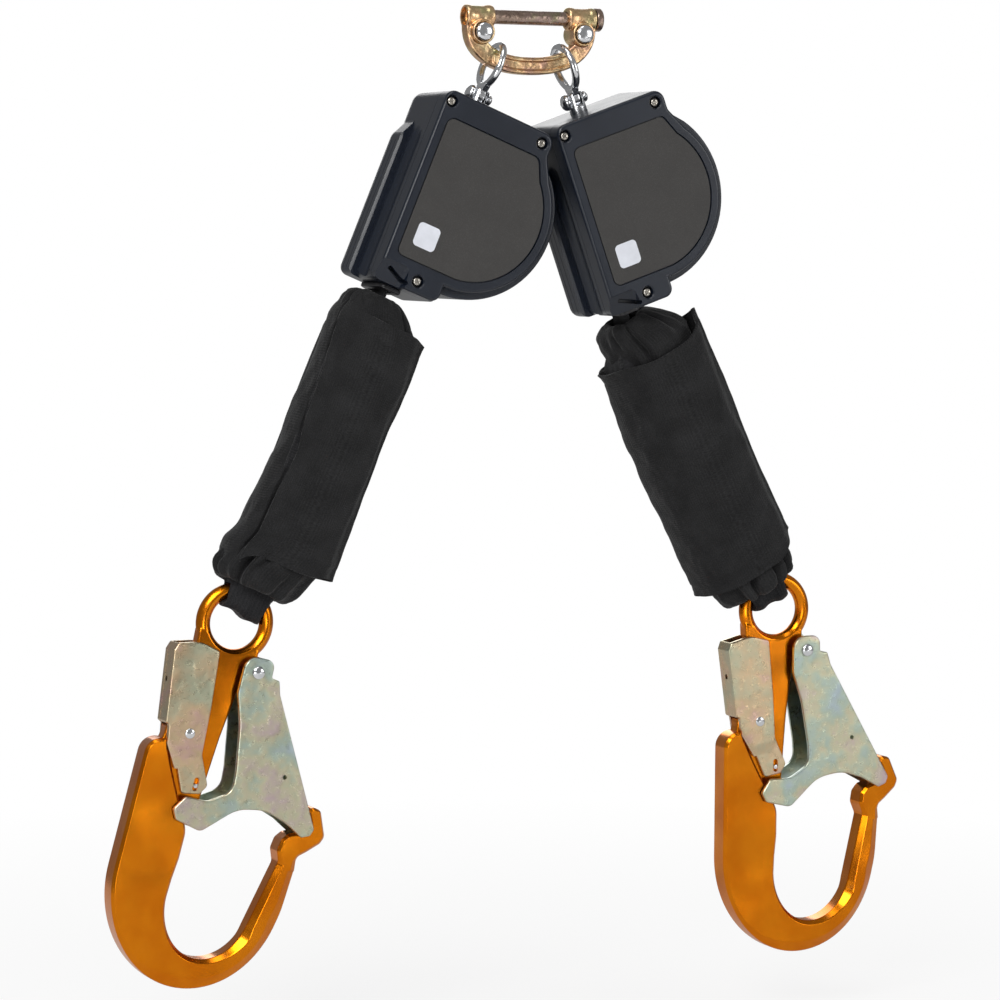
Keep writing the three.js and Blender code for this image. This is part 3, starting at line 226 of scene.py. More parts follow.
class Bench:
    """Modelling moves that every piece is made with."""

    @staticmethod
    def pick(piece: Piece) -> None:
        """Makes one piece the only selected and the active one.

        Args:
            piece: The piece.
        """
        bpy.ops.object.select_all(action="DESELECT")
        piece.select_set(True)
        bpy.context.view_layer.objects.active = piece

    @staticmethod
    def grow(name: str, rings: Sequence[Ring], looped: bool = False, opened: bool = False) -> Piece:
        """Grows a solid from a flat face by extruding it from ring to ring.

        Args:
            name: Name of the new piece.
            rings: Rings of equal point count, in millimetres.
            looped: Whether the last ring meets the first again.
            opened: Whether both end faces are left open.

        Returns:
            The new piece.
        """
        count = len(rings[0])
        bpy.ops.object.select_all(action="DESELECT")
        bpy.ops.mesh.primitive_circle_add(vertices=count, radius=MM, fill_type="NGON")
        piece = bpy.context.active_object
        piece.name = name
        piece.data.name = name
        mesh = piece.data
        mesh.attributes.new("place", "INT", "POINT").data.foreach_set("value", list(range(count)))
        mesh.attributes.new("row", "INT", "POINT")
        mesh.vertices.foreach_set("co", [c * MM for point in rings[0] for c in point])
        bpy.ops.object.mode_set(mode="EDIT")
        bpy.ops.mesh.select_mode(type="FACE")
        bpy.ops.mesh.select_all(action="SELECT")
        for row, ring in enumerate(rings[1:], 1):
            bpy.ops.mesh.extrude_region_move()
            built = bmesh.from_edit_mesh(mesh)
            place = built.verts.layers.int["place"]
            rows = built.verts.layers.int["row"]
            for vertex in built.verts:
                if vertex.select:
                    vertex.co = Vector(ring[vertex[place]]) * MM
                    vertex[rows] = row
            bmesh.update_edit_mesh(mesh)
        if looped or opened:
            built = bmesh.from_edit_mesh(mesh)
            rows = built.verts.layers.int["row"]
            bpy.ops.mesh.select_all(action="DESELECT")
            for face in built.faces:
                if {vertex[rows] for vertex in face.verts} in ({0}, {len(rings) - 1}):
                    face.select = True
            bmesh.update_edit_mesh(mesh)
            bpy.ops.mesh.delete(type="ONLY_FACE")
        bpy.ops.mesh.select_all(action="SELECT")
        bpy.ops.mesh.remove_doubles(threshold=1e-6)
        bpy.ops.mesh.normals_make_consistent(inside=False)
        bpy.ops.object.mode_set(mode="OBJECT")
        return piece

    @staticmethod
    def plate(
        name: str, outline: Sequence[Point], front: float, rear: float, edge: float = 0.0,
        steps: int = 3, rear_edge: Optional[float] = None,
    ) -> Piece:
        """Makes a plate with rounded front and rear edges.

        Args:
            name: Name of the new piece.
            outline: Its outline in the XZ plane.
            front: Depth of its front.
            rear: Depth of its rear.
            edge: Radius of the front edge.
            steps: Facets round an edge.
            rear_edge: Radius of the rear edge, or the front one's.

        Returns:
            The plate.
        """
        back = edge if rear_edge is None else rear_edge
        turns = quarter(steps)
        rings: list[Ring] = []
        if edge:
            rings += [
                flat(inset(outline, edge * (1 - math.sin(t))), front + edge * (1 - math.cos(t)))
                for t in turns
            ]
        else:
            rings.append(flat(outline, front))
        if back:
            rings += [
                flat(inset(outline, back * (1 - math.cos(t))), rear - back * (1 - math.sin(t)))
                for t in turns
            ]
        else:
            rings.append(flat(outline, rear))
        return Bench.grow(name, rings)

    @staticmethod
    def turned(
        name: str, profile: Sequence[Point], axis: Axis, middle: Corner = (0, 0, 0),
        sides: int = 48, looped: bool = False,
    ) -> Piece:
        """Turns a profile about an axis.

        Args:
            name: Name of the new piece.
            profile: Radius and place along the axis of each point.
            axis: What it is turned about.
            middle: Where the axis passes.
            sides: Facets round.
            looped: Whether the profile closes on itself.

        Returns:
            The turned piece.
        """
        rings: list[Ring] = []
        for radius, along in profile:
            ring: Ring = []
            for k in range(sides):
                u = max(radius, 1e-5) * math.cos(2 * math.pi * k / sides)
                v = max(radius, 1e-5) * math.sin(2 * math.pi * k / sides)
                x, y, z = {Axis.X: (along, u, v), Axis.Y: (u, along, v), Axis.Z: (u, v, along)}[axis]
                ring.append((x + middle[0], y + middle[1], z + middle[2]))
            rings.append(ring)
        if looped:
            rings.append(rings[0])
        return Bench.grow(name, rings, looped=looped)

    @staticmethod
    def bar(
        name: str, radius: float, start: float, end: float, axis: Axis, middle: Corner = (0, 0, 0),
        edge: float = 0.0, sides: int = 40,
    ) -> Piece:
        """Makes a round bar with broken edges.

        Args:
            name: Name of the new piece.
            radius: Its radius.
            start: Where it starts along its axis.
            end: Where it ends.
            axis: The axis it lies along.
            middle: Where the axis passes.
            edge: Size of the broken edge.
            sides: Facets round.

        Returns:
            The bar.
        """
        profile = [(radius, start), (radius, end)]
        if edge:
            profile = [
                (radius - edge, start), (radius - edge * 0.3, start + edge * 0.3), (radius, start + edge),
                (radius, end - edge), (radius - edge * 0.3, end - edge * 0.3), (radius - edge, end),
            ]
        return Bench.turned(name, profile, axis, middle, sides)

    @staticmethod
    def block(name: str, low: Corner, high: Corner) -> Piece:
        """Makes a block between two corners.

        Args:
            name: Name of the new piece.
            low: Its lowest corner.
            high: Its highest corner.

        Returns:
            The block.
        """
        bpy.ops.object.select_all(action="DESELECT")
        bpy.ops.mesh.primitive_cube_add(size=1)
        piece = bpy.context.active_object
        piece.name = name
        piece.data.name = name
        size = Vector(high) - Vector(low)
        middle = (Vector(high) + Vector(low)) / 2
        piece.data.transform(Matrix.Translation(middle * MM) @ Matrix.Diagonal((*(size * MM), 1)))
        return piece

    @staticmethod
    def modify(piece: Piece, kind: str, **settings: object) -> Piece:
        """Adds a modifier and applies it.

        Args:
            piece: The piece.
            kind: The modifier's type.
            **settings: Its settings.

        Returns:
            The piece.
        """
        Bench.pick(piece)
        modifier = piece.modifiers.new(kind.lower(), kind)
        for key, value in settings.items():
            setattr(modifier, key, value)
        bpy.ops.object.modifier_apply(modifier=modifier.name)
        return piece

    @staticmethod
    def merge(body: Piece, how: Merge, *tools: Piece) -> Piece:
        """Joins tools to a body, cuts them out of it or keeps what they share.

        Args:
            body: The body.
            how: What is done.
            *tools: The tools, which are used up.

        Returns:
            The body.
        """
        for tool in tools:
            Bench.modify(body, "BOOLEAN", operation=how.value, object=tool, solver="EXACT")
            bpy.data.objects.remove(tool, do_unlink=True)
        return body

    @staticmethod
    def cast(piece: Piece, voxel: float, passes: int) -> Piece:
        """Softens a solid as a casting or forging is soft.

        Args:
            piece: The piece.
            voxel: Size of the cells it is rebuilt from.
            passes: Smoothing passes.

        Returns:
            The piece.
        """
        Bench.modify(piece, "REMESH", mode="VOXEL", voxel_size=voxel * MM, adaptivity=0.0)
        return Bench.modify(piece, "SMOOTH", factor=0.5, iterations=passes)

    @staticmethod
    def soften(piece: Piece, width: float, segments: int, angle: float) -> Piece:
        """Bevels the edges that turn more than an angle.

        Args:
            piece: The piece.
            width: Width of the bevel.
            segments: Facets across it.
            angle: The turn in degrees.

        Returns:
            The piece.
        """
        return Bench.modify(
            piece, "BEVEL", width=width * MM, segments=segments, limit_method="ANGLE",
            angle_limit=math.radians(angle), use_clamp_overlap=True, harden_normals=False,
        )

    @staticmethod
    def shade(piece: Piece, angle: float) -> Piece:
        """Shades a piece smoothly.

        Args:
            piece: The piece.
            angle: The largest turn between faces that stays smooth, in degrees.

        Returns:
            The piece.
        """
        Bench.pick(piece)
        if angle >= 180:
            bpy.ops.object.shade_smooth()
            return piece
        bpy.ops.object.shade_smooth_by_angle(angle=math.radians(angle))
        return Bench.modify(piece, "WEIGHTED_NORMAL", keep_sharp=True, weight=80)

    @staticmethod
    def copy(piece: Piece, name: str) -> Piece:
        """Copies a piece with its own mesh.

        Args:
            piece: The piece.
            name: The copy's name.

        Returns:
            The copy.
        """
        twin = piece.copy()
        twin.data = piece.data.copy()
        twin.name = name
        twin.data.name = name
        bpy.context.scene.collection.objects.link(twin)
        return twin

    @staticmethod
    def lay_out(piece: Piece, count: int, round_length: float, down: Sequence[float]) -> None:
        """Gives a grown tube a map of its own surface in millimetres.

        Args:
            piece: The tube.
            count: Points in a ring.
            round_length: Length once round.
            down: Distance of each ring along the tube.
        """
        mesh = piece.data
        places = [d.value for d in mesh.attributes["place"].data]
        rows = [d.value for d in mesh.attributes["row"].data]
        layer = mesh.uv_layers.new(name="surface")
        for face in mesh.polygons:
            around = [places[v] for v in face.vertices]
            wraps = max(around) - min(around) > count / 2
            for loop, vertex in zip(face.loop_indices, face.vertices):
                place = places[vertex] + (count if wraps and places[vertex] < count / 2 else 0)
                layer.data[loop].uv = (place / count * round_length, down[rows[vertex]])


# Shaders


class Wire:
    """A socket that takes part in sums by adding Math nodes."""

    def __init__(self, shop: "Shader", socket: bpy.types.NodeSocket) -> None:
        """Wraps a socket.

        Args:
            shop: The shader that the socket belongs to.
            socket: The socket.
        """
        self.shop = shop
        self.socket = socket

    def sum(self, operation: str, *others: Union["Wire", Number], flipped: bool = False) -> "Wire":
        """Adds one Math node.

        Args:
            operation: The node's operation.
            *others: The other values.
            flipped: Whether this socket comes second.

        Returns:
            The result.
        """
        values = [self, *others]
        if flipped:
            values.reverse()
        return self.shop.add("ShaderNodeMath", {"operation": operation}, dict(enumerate(values)))

    def __add__(self, other: Union["Wire", Number]) -> "Wire":
        """Adds."""
        return self.sum("ADD", other)

    def __radd__(self, other: Number) -> "Wire":
        """Adds to a number."""
        return self.sum("ADD", other)

    def __sub__(self, other: Union["Wire", Number]) -> "Wire":
        """Subtracts."""
        return self.sum("SUBTRACT", other)

    def __rsub__(self, other: Number) -> "Wire":
        """Subtracts from a number."""
        return self.sum("SUBTRACT", other, flipped=True)

    def __mul__(self, other: Union["Wire", Number]) -> "Wire":
        """Multiplies."""
        return self.sum("MULTIPLY", other)

    def __rmul__(self, other: Number) -> "Wire":
        """Multiplies a number."""
        return self.sum("MULTIPLY", other)

    def __truediv__(self, other: Union["Wire", Number]) -> "Wire":
        """Divides."""
        return self.sum("DIVIDE", other)

    def sine(self) -> "Wire":
        """Gives the sine."""
        return self.sum("SINE")


class Shader:
    """A material under construction."""

    def __init__(self, name: str) -> None:
        """Starts an empty material.

        Args:
            name: The material's name.
        """
        self.material = bpy.data.materials.new(name)
        self.material.use_nodes = True
        self.tree = self.material.node_tree
        self.tree.nodes.clear()

    @classmethod
    def over(cls, tree: bpy.types.NodeTree) -> "Shader":
        """Works in a tree that isn't a material's.

        Args:
            tree: The tree.

        Returns:
            The shader.
        """
        shader = cls.__new__(cls)
        shader.material = None
        shader.tree = tree
        return shader

    def add(
        self, kind: str, settings: Optional[dict] = None, inputs: Optional[dict] = None,
        output: Union[int, str, None] = 0,
    ) -> Optional[Wire]:
        """Adds a node.

        Args:
            kind: The node's type.
            settings: Its settings, set first; stops are a ramp's positions and colours.
            inputs: Values or wires of its sockets, by name or number.
            output: The output that is wanted, or nothing for an end node.

        Returns:
            That output.
        """
        node = self.tree.nodes.new(kind)
        for key, value in (settings or {}).items():
            if key == "stops":
                ramp = node.color_ramp
                while len(ramp.elements) < len(value):
                    ramp.elements.new(0.5)
                for element, (position, colour) in zip(ramp.elements, value):
                    element.position = position
                    element.color = (*colour, 1.0)
            else:
                setattr(node, key, value)
        for key, value in (inputs or {}).items():
            socket = node.inputs[key]
            if isinstance(value, Wire):
                self.tree.links.new(value.socket, socket)
            else:
                socket.default_value = value
        return None if output is None else Wire(self, node.outputs[output])

    def place(self) -> Wire:
        """Gives the place on the object in millimetres."""
        here = self.add("ShaderNodeTexCoord", output="Object")
        return self.add("ShaderNodeMapping", {}, {"Vector": here, "Scale": (1 / MM, 1 / MM, 1 / MM)})

    def surface(self) -> Wire:
        """Gives the place on the piece's own map, in millimetres."""
        return self.add("ShaderNodeUVMap", {"uv_map": "surface"})

    def cloud(self, where: Wire, size: float, detail: float = 3.0, rough: float = 0.55) -> Wire:
        """Gives soft noise from 0 to 1, with lumps of a size in millimetres.

        Args:
            where: The place it is read at.
            size: Size of its lumps in millimetres.
            detail: How many finer layers it has.
            rough: How strong they are.

        Returns:
            The noise.
        """
        return self.add(
            "ShaderNodeTexNoise", {},
            {"Vector": where, "Scale": 1 / size, "Detail": detail, "Roughness": rough},
        )

    def ramp(self, value: Wire, stops: Sequence[tuple[float, Corner]]) -> Wire:
        """Turns a value into a colour."""
        return self.add("ShaderNodeValToRGB", {"stops": stops}, {0: value})

    def span(self, value: Wire, low: float, high: float, start: float = 0.0, end: float = 1.0) -> Wire:
        """Stretches a range of values to another, within its ends.

        Args:
            value: The value.
            low: Where the range starts.
            high: Where it ends.
            start: What its start becomes.
            end: What its end becomes.

        Returns:
            The new value.
        """
        return self.add(
            "ShaderNodeMapRange", {"clamp": True},
            {0: value, 1: low, 2: high, 3: start, 4: end},
        )

    def mix(self, share: Wire, low: Union[Wire, Corner], high: Union[Wire, Corner]) -> Wire:
        """Mixes two colours.

        Args:
            share: The share of the second.
            low: The first colour.
            high: The second colour.

        Returns:
            The colour.
        """
        colours = [c if isinstance(c, Wire) else (*c, 1.0) for c in (low, high)]
        return self.add(
            "ShaderNodeMix", {"data_type": "RGBA"}, {0: share, 6: colours[0], 7: colours[1]}, output=2
        )

    def bump(self, height: Wire, distance: float, strength: float, under: Optional[Wire] = None) -> Wire:
        """Turns a height into a normal.

        Args:
            height: The height, from 0 to 1.
            distance: The relief in millimetres.
            strength: The share of it that shows.
            under: A normal that it is laid over.

        Returns:
            The normal.
        """
        inputs: dict = {"Height": height, "Distance": distance * MM, "Strength": strength}
        if under:
            inputs["Normal"] = under
        return self.add("ShaderNodeBump", {}, inputs)

    def finish(self, **sockets: Union[Wire, Number, tuple]) -> bpy.types.Material:
        """Ends the material in its shader.

        Args:
            **sockets: The shader's sockets, with underscores for spaces.

        Returns:
            The material.
        """
        named = {key.replace("_", " "): value for key, value in sockets.items()}
        body = self.add("ShaderNodeBsdfPrincipled", {}, named)
        self.add_output(body)
        return self.material

    def add_output(self, body: Wire) -> None:
        """Links a shader to the material's output."""
        self.add("ShaderNodeOutputMaterial", {}, {"Surface": body}, output=None)


def shade_of(colour: Corner, share: float) -> Corner:
    """Gives a lighter or darker shade of a colour."""
    return tuple(part * share for part in colour)


@dataclass(frozen=True)
class MouldedPlastic:
    """Moulded plastic with a fine spark eroded grain."""

    name: str
    colour: Corner
    rough: float
    grain: float

    def make(self) -> bpy.types.Material:
        """Builds the material.

        Returns:
            The material.
        """
        s = Shader(self.name)
        here = s.place()
        patches = s.cloud(here, 26, 4)
        fine = s.cloud(here, 0.55, 3, 0.7)
        colour = s.mix(s.span(patches, 0.35, 0.7), shade_of(self.colour, 0.9), shade_of(self.colour, 1.12))
        rough = self.rough + 0.12 * (patches - 0.5) + 0.14 * (fine - 0.5)
        return s.finish(
            Base_Color=colour, Roughness=rough, Specular_IOR_Level=0.5,
            Normal=s.bump(fine, self.grain, 0.7),
        )


@dataclass(frozen=True)
class LabelFilm:
    """Matte printed film with a fine fleck."""

    name: str
    colour: Corner
    fleck: Corner

    def make(self) -> bpy.types.Material:
        """Builds the material.

        Returns:
            The material.
        """
        s = Shader(self.name)
        here = s.place()
        fine = s.cloud(here, 0.42, 2, 0.8)
        wide = s.cloud(here, 18, 3)
        flecks = s.span(fine, 0.52, 0.72)
        colour = s.mix(flecks * 0.65, self.colour, self.fleck)
        colour = s.mix(s.span(wide, 0.3, 0.75, 0.0, 0.25), colour, shade_of(self.colour, 0.7))
        return s.finish(
            Base_Color=colour, Roughness=0.62 + 0.1 * (wide - 0.5), Specular_IOR_Level=0.4,
            Normal=s.bump(fine, 0.03, 0.5),
        )


@dataclass(frozen=True)
class ZincPlating:
    """Passivated zinc, whose colour drifts over the surface."""

    name: str
    tints: tuple[Corner, Corner, Corner, Corner]
    rough: float
    drift: float
    grain: float

    def make(self) -> bpy.types.Material:
        """Builds the material.

        Returns:
            The material.
        """
        s = Shader(self.name)
        here = s.place()
        drift = s.cloud(here, self.drift, 3, 0.6)
        spots = s.cloud(here, self.drift / 7, 4, 0.65)
        fine = s.cloud(here, 0.5, 3, 0.75)
        value = drift * 0.80 + spots * 0.06 + fine * 0.14
        first, second, third, fourth = self.tints
        colour = s.ramp(value, [(0.36, first), (0.47, second), (0.55, third), (0.66, fourth)])
        rough = self.rough + 0.25 * (spots - 0.5) + 0.16 * (fine - 0.5)
        uneven = s.bump(spots, self.grain * 3, 0.1, s.bump(drift, 1.2, 1.0))
        return s.finish(
            Base_Color=colour, Metallic=1.0, Roughness=rough, Normal=s.bump(fine, self.grain, 0.6, uneven),
        )


@dataclass(frozen=True)
class Anodised:
    """Forged aluminium, brushed by tumbling and anodised in colour."""

    name: str
    colour: Corner
    deep: Corner
    rough: float

    def make(self) -> bpy.types.Material:
        """Builds the material.

        Returns:
            The material.
        """
        s = Shader(self.name)
        here = s.place()
        wide = s.cloud(here, 22, 3)
        fine = s.cloud(here, 0.35, 3, 0.8)
        marks = s.cloud(here, 3.2, 4, 0.7)
        uneven = s.cloud(here, 58, 1, 0.4)
        colour = s.mix(s.span(wide, 0.35, 0.7), self.deep, self.colour)
        rough = self.rough + 0.07 * (wide - 0.5) + 0.14 * (fine - 0.5) + 0.08 * (marks - 0.5)
        shape = s.bump(marks, 0.05, 0.18, s.bump(uneven, 7.0, 1.0))
        return s.finish(
            Base_Color=colour, Metallic=1.0, Roughness=rough, Coat_Weight=0.08 + 0.1 * (wide - 0.5),
            Coat_Roughness=0.16, Normal=s.bump(fine, 0.008, 0.5, shape),
        )


@dataclass(frozen=True)
class BareMetal:
    """Polished, brushed or stamped bare metal."""

    name: str
    colour: Corner
    rough: float
    wear: float
    grain: float

    def make(self) -> bpy.types.Material:
        """Builds the material.

        Returns:
            The material.
        """
        s = Shader(self.name)
        here = s.place()
        wide = s.cloud(here, 7, 4)
        fine = s.cloud(here, 0.4, 3, 0.75)
        colour = s.mix(s.span(wide, 0.35, 0.7), shade_of(self.colour, 0.86), self.colour)
        rough = self.rough + self.wear * (wide - 0.5) + self.wear * 0.7 * (fine - 0.5)
        return s.finish(
            Base_Color=colour, Metallic=1.0, Roughness=rough, Normal=s.bump(fine, self.grain, 0.5),
        )


@dataclass(frozen=True)
class WovenCloth:
    """Black woven cloth or tape, its threads laid along the piece's own map."""

    name: str
    colour: Corner
    pale: Corner
    pitch: float
    relief: float
    ribs: float
    lint: Corner = (0.22, 0.22, 0.23)

    def make(self) -> bpy.types.Material:
        """Builds the material.

        Returns:
            The material.
        """
        s = Shader(self.name)
        where = s.surface()
        across = s.add("ShaderNodeSeparateXYZ", {}, {0: where}, output="X")
        along = s.add("ShaderNodeSeparateXYZ", {}, {0: where}, output="Y")
        turn = 2 * math.pi / self.pitch
        wave = s.cloud(where, 9, 3)
        weft = (along * turn + wave * 2.0).sine()
        warp = (across * turn / self.ribs + wave * 2.0).sine()
        weave = 0.5 + 0.25 * weft * warp + 0.25 * warp
        fuzz = s.cloud(where, 0.8, 3, 0.8)
        lint = s.span(s.cloud(where, 0.9, 2, 0.9), 0.72, 0.77)
        worn = s.cloud(where, 16, 4)
        share = s.span(worn, 0.35, 0.75, 0.0, 0.4) + weave * 0.35 + (fuzz - 0.5) * 2.4
        colour = s.mix(s.span(share, 0.0, 1.0), self.colour, self.pale)
        colour = s.mix(lint * 0.2, colour, self.lint)
        height = weave * 0.7 + fuzz * 0.6
        rumpled = s.bump(s.cloud(where, 11, 3, 0.5), 2.2, 0.8)
        return s.finish(
            Base_Color=colour, Roughness=0.84 + 0.14 * (fuzz - 0.5), Specular_IOR_Level=0.3,
            Sheen_Weight=0.10, Sheen_Roughness=0.4, Normal=s.bump(height, self.relief, 0.8, rumpled),
        )


@dataclass(frozen=True)
class TagFilm:
    """Pale printed film."""

    name: str
    colour: Corner

    def make(self) -> bpy.types.Material:
        """Builds the material.

        Returns:
            The material.
        """
        s = Shader(self.name)
        here = s.place()
        wide = s.cloud(here, 6, 3)
        fine = s.cloud(here, 0.3, 2)
        colour = s.mix(s.span(wide, 0.3, 0.7), self.colour, shade_of(self.colour, 0.9))
        return s.finish(
            Base_Color=colour, Roughness=0.45 + 0.1 * (fine - 0.5), Normal=s.bump(fine, 0.01, 0.4)
        )


class Finish(Enum):
    """The finishes of the pieces."""

    YOKE_PLATING = ZincPlating(
        "yoke_plating",
        ((0.60, 0.36, 0.26), (0.74, 0.47, 0.25), (0.80, 0.58, 0.33), (0.55, 0.50, 0.24)),
        0.30, 13, 0.03,
    )
    PIN_PLATING = ZincPlating(
        "pin_plating",
        ((0.30, 0.21, 0.17), (0.38, 0.28, 0.22), (0.42, 0.30, 0.26), (0.36, 0.31, 0.20)),
        0.30, 11, 0.02,
    )
    CHROME = BareMetal("chrome", (0.78, 0.79, 0.81), 0.16, 0.16, 0.012)
    STAINLESS = BareMetal("stainless", (0.52, 0.49, 0.44), 0.28, 0.16, 0.015)
    HOUSING_PLASTIC = MouldedPlastic("housing_plastic", (0.0048, 0.0080, 0.0160), 0.33, 0.018)
    LABEL_FILM = LabelFilm("label_film", (0.039, 0.037, 0.035), (0.080, 0.077, 0.074))
    BLACK_PLASTIC = MouldedPlastic("black_plastic", (0.010, 0.010, 0.012), 0.42, 0.02)
    INNER_STEEL = BareMetal("inner_steel", (0.50, 0.50, 0.52), 0.36, 0.2, 0.03)
    SPRING_STEEL = BareMetal("spring_steel", (0.30, 0.31, 0.34), 0.30, 0.14, 0.02)
    WEBBING = WovenCloth("webbing", (0.004, 0.004, 0.005), (0.030, 0.030, 0.032), 1.5, 0.35, 1.6)
    SLEEVE_CLOTH = WovenCloth(
        "sleeve_cloth", (0.0020, 0.0020, 0.0023), (0.024, 0.024, 0.025), 1.35, 0.40, 1.0
    )
    HOOK_ANODISED = Anodised("hook_anodised", (0.77, 0.232, 0.004), (0.66, 0.172, 0.003), 0.22)
    GATE_PLATING = ZincPlating(
        "gate_plating",
        ((0.56, 0.44, 0.45), (0.58, 0.55, 0.38), (0.45, 0.53, 0.44), (0.43, 0.51, 0.54)),
        0.30, 26, 0.04,
    )
    LEVER_PLATING = ZincPlating(
        "lever_plating",
        ((0.64, 0.42, 0.37), (0.64, 0.48, 0.30), (0.56, 0.48, 0.32), (0.48, 0.50, 0.36)),
        0.30, 24, 0.04,
    )
    TAG_FILM = TagFilm("tag_film", (0.72, 0.74, 0.80))


class Wardrobe:
    """Materials, made once each."""

    def __init__(self) -> None:
        """Starts with none."""
        self.made: dict[Finish, bpy.types.Material] = {}

    def get(self, finish: Finish) -> bpy.types.Material:
        """Gives the material of a finish.

        Args:
            finish: The finish.

        Returns:
            Its material.
        """
        if finish not in self.made:
            self.made[finish] = finish.value.make()
        return self.made[finish]

    def dress(
        self, piece: Piece, finish: Finish, body: str, replaces: Sequence[str] = (),
    ) -> Piece:
        """Gives a piece its material, its body and the nodes that it stands for.

        Args:
            piece: The finished piece.
            finish: Its finish.
            body: The body that it rides on, or nothing where it is blended.
            replaces: The nodes that it stands for.

        Returns:
            The piece.
        """
        for name in ("place", "row"):
            layer = piece.data.attributes.get(name)
            if layer:
                piece.data.attributes.remove(layer)
        piece.data.materials.clear()
        piece.data.materials.append(self.get(finish))
        if body:
            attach(piece, body)
        if replaces:
            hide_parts(*replaces)
        log.info("%s: %d faces, on %s", piece.name, len(piece.data.polygons), body)
        return piece


WARDROBE = Wardrobe()


# Connector


@dataclass
class Connector:
    """Cast yoke with its pin and its two lock buttons."""

    half_width: float = 41.5
    drop: float = 28.2
    inner_half_width: float = 31.0
    inner_drop: float = 18.0
    arm_below: float = 5.0
    roundness: float = 2.3
    thickness: float = 9.0
    boss_radius: float = 7.1
    boss_depth: float = 17.0
    button_across: float = 32.0
    button_below: float = 9.0
    button_radius: float = 5.3
    pin_radius: float = 4.15

    def height(self, x: float, half_width: float, drop: float) -> float:
        """Gives the height of a rounded U at a distance across."""
        part = min(1.0, abs(x) / half_width)
        return -self.arm_below - drop * (1 - part**self.roundness) ** (1 / self.roundness)

    def edge(self, half_width: float, drop: float, reach: float = 1.0) -> list[Point]:
        """Gives a rounded U from its left end to its right end.

        Args:
            half_width: Half its width.
            drop: Its depth.
            reach: The share of the width that is drawn.

        Returns:
            The points.
        """
        points = []
        for k in range(61):
            cosine = math.cos(math.pi * (1 - k / 60))
            x = math.copysign(abs(cosine) ** (2 / self.roundness), cosine) * half_width * reach
            points.append((x, self.height(x, half_width, drop)))
        return points

    def yoke(self) -> Piece:
        """Models the cast yoke.

        Returns:
            The yoke.
        """
        half = self.thickness / 2
        outline = self.edge(self.half_width, self.drop)
        outline += self.edge(self.inner_half_width, self.inner_drop)[::-1]
        body = Bench.plate("yoke", outline, -half, half, 1.6)
        rim = 2.6
        lower = self.edge(self.half_width - rim, self.drop - rim, 0.62)
        upper = [(x, self.height(x, self.inner_half_width + rim, self.inner_drop + rim)) for x, _ in lower]
        web = lower + upper[::-1]
        for front, rear in ((-half - 2, -half + 1.3), (half - 1.3, half + 2)):
            Bench.merge(body, Merge.CUT, Bench.plate("web", web, front, rear))
        for side in (-1, 1):
            profile = [
                (5.6, 41.5), (6.4, 41.2), (6.75, 40.5), (6.75, 38.4), (6.35, 37.4), (6.2, 34.0),
                (6.25, 29.0), (6.75, 27.2), (6.8, 25.0), (6.5, 24.0), (5.6, 23.5),
            ]
            lug = Bench.turned("lug", [(r, side * x) for r, x in profile], Axis.X, sides=48)
            boss = Bench.bar(
                "boss", self.boss_radius, -self.boss_depth / 2, self.boss_depth / 2 - 1.5, Axis.Y,
                (side * self.button_across, 0, -self.button_below), 0.7,
            )
            Bench.merge(body, Merge.JOIN, lug, boss)
        Bench.cast(body, 0.42, 7)
        front = -self.boss_depth / 2
        for side in (-1, 1):
            middle = (side * self.button_across, 0, -self.button_below)
            seat = [(5.62, front + 6), (5.62, front + 0.5), (6.1, front), (6.1, front - 2)]
            socket = [(5.2, side * 37.5), (5.2, side * 41.0), (5.8, side * 41.6), (5.8, side * 44)]
            Bench.merge(
                body, Merge.CUT,
                Bench.turned("seat", seat, Axis.Y, middle),
                Bench.bar("bore", 3.3, -6, 12, Axis.Y, middle),
                Bench.turned("socket", socket, Axis.X),
            )
        Bench.merge(body, Merge.CUT, Bench.bar("bore", self.pin_radius + 0.3, -50, 50, Axis.X))
        return Bench.shade(body, 40)

    def pin(self) -> Piece:
        """Models the pin, with a cup in each end.

        Returns:
            The pin.
        """
        head = 41.8
        body = Bench.turned(
            "pin",
            [
                (0, -31), (2.5, -31), (2.7, -36.6), (3.1, -37), (3.8, -37), (4.15, -36.6), (4.15, head),
                (6.3, head), (6.8, head + 0.5), (6.8, head + 3.2), (6.3, head + 3.8), (5.4, head + 3.8),
                (5.0, head + 3.3), (4.6, head + 2.2), (0, head + 2.0),
            ],
            Axis.X, sides=56,
        )
        return Bench.shade(body, 35)

    def button(self, side: int) -> Piece:
        """Models one domed button on its plunger.

        Args:
            side: -1 on the left, 1 on the right.

        Returns:
            The button.
        """
        rim = -self.boss_depth / 2
        foot = rim - 1.4
        radius = self.button_radius
        profile = [
            (0, 11.3), (2.6, 11.3), (3.0, 10.9), (3.0, rim + 2.9), (radius, rim + 2.9), (radius, foot + 0.5),
        ]
        profile += [(radius * math.cos(t), foot + 0.5 - 2.1 * math.sin(t)) for t in quarter(8, 1)]
        profile[-1] = (0, foot - 1.6)
        body = Bench.turned(
            "button", profile, Axis.Y, (side * self.button_across, 0, -self.button_below), 48
        )
        return Bench.shade(body, 40)

    def build(self) -> None:
        """Models and dresses the connector."""
        yoke = self.named(self.yoke(), "yoke")
        WARDROBE.dress(yoke, Finish.YOKE_PLATING, "yoke", ["yoke_body"])
        pin = self.named(self.pin(), "harness_pin")
        WARDROBE.dress(pin, Finish.PIN_PLATING, "pin", ["connector_pin"])
        for side, name in ((-1, "left"), (1, "right")):
            button = self.named(self.button(side), f"{name}_button")
            WARDROBE.dress(button, Finish.CHROME, f"button_{name}", [f"lock_button_{name}"])

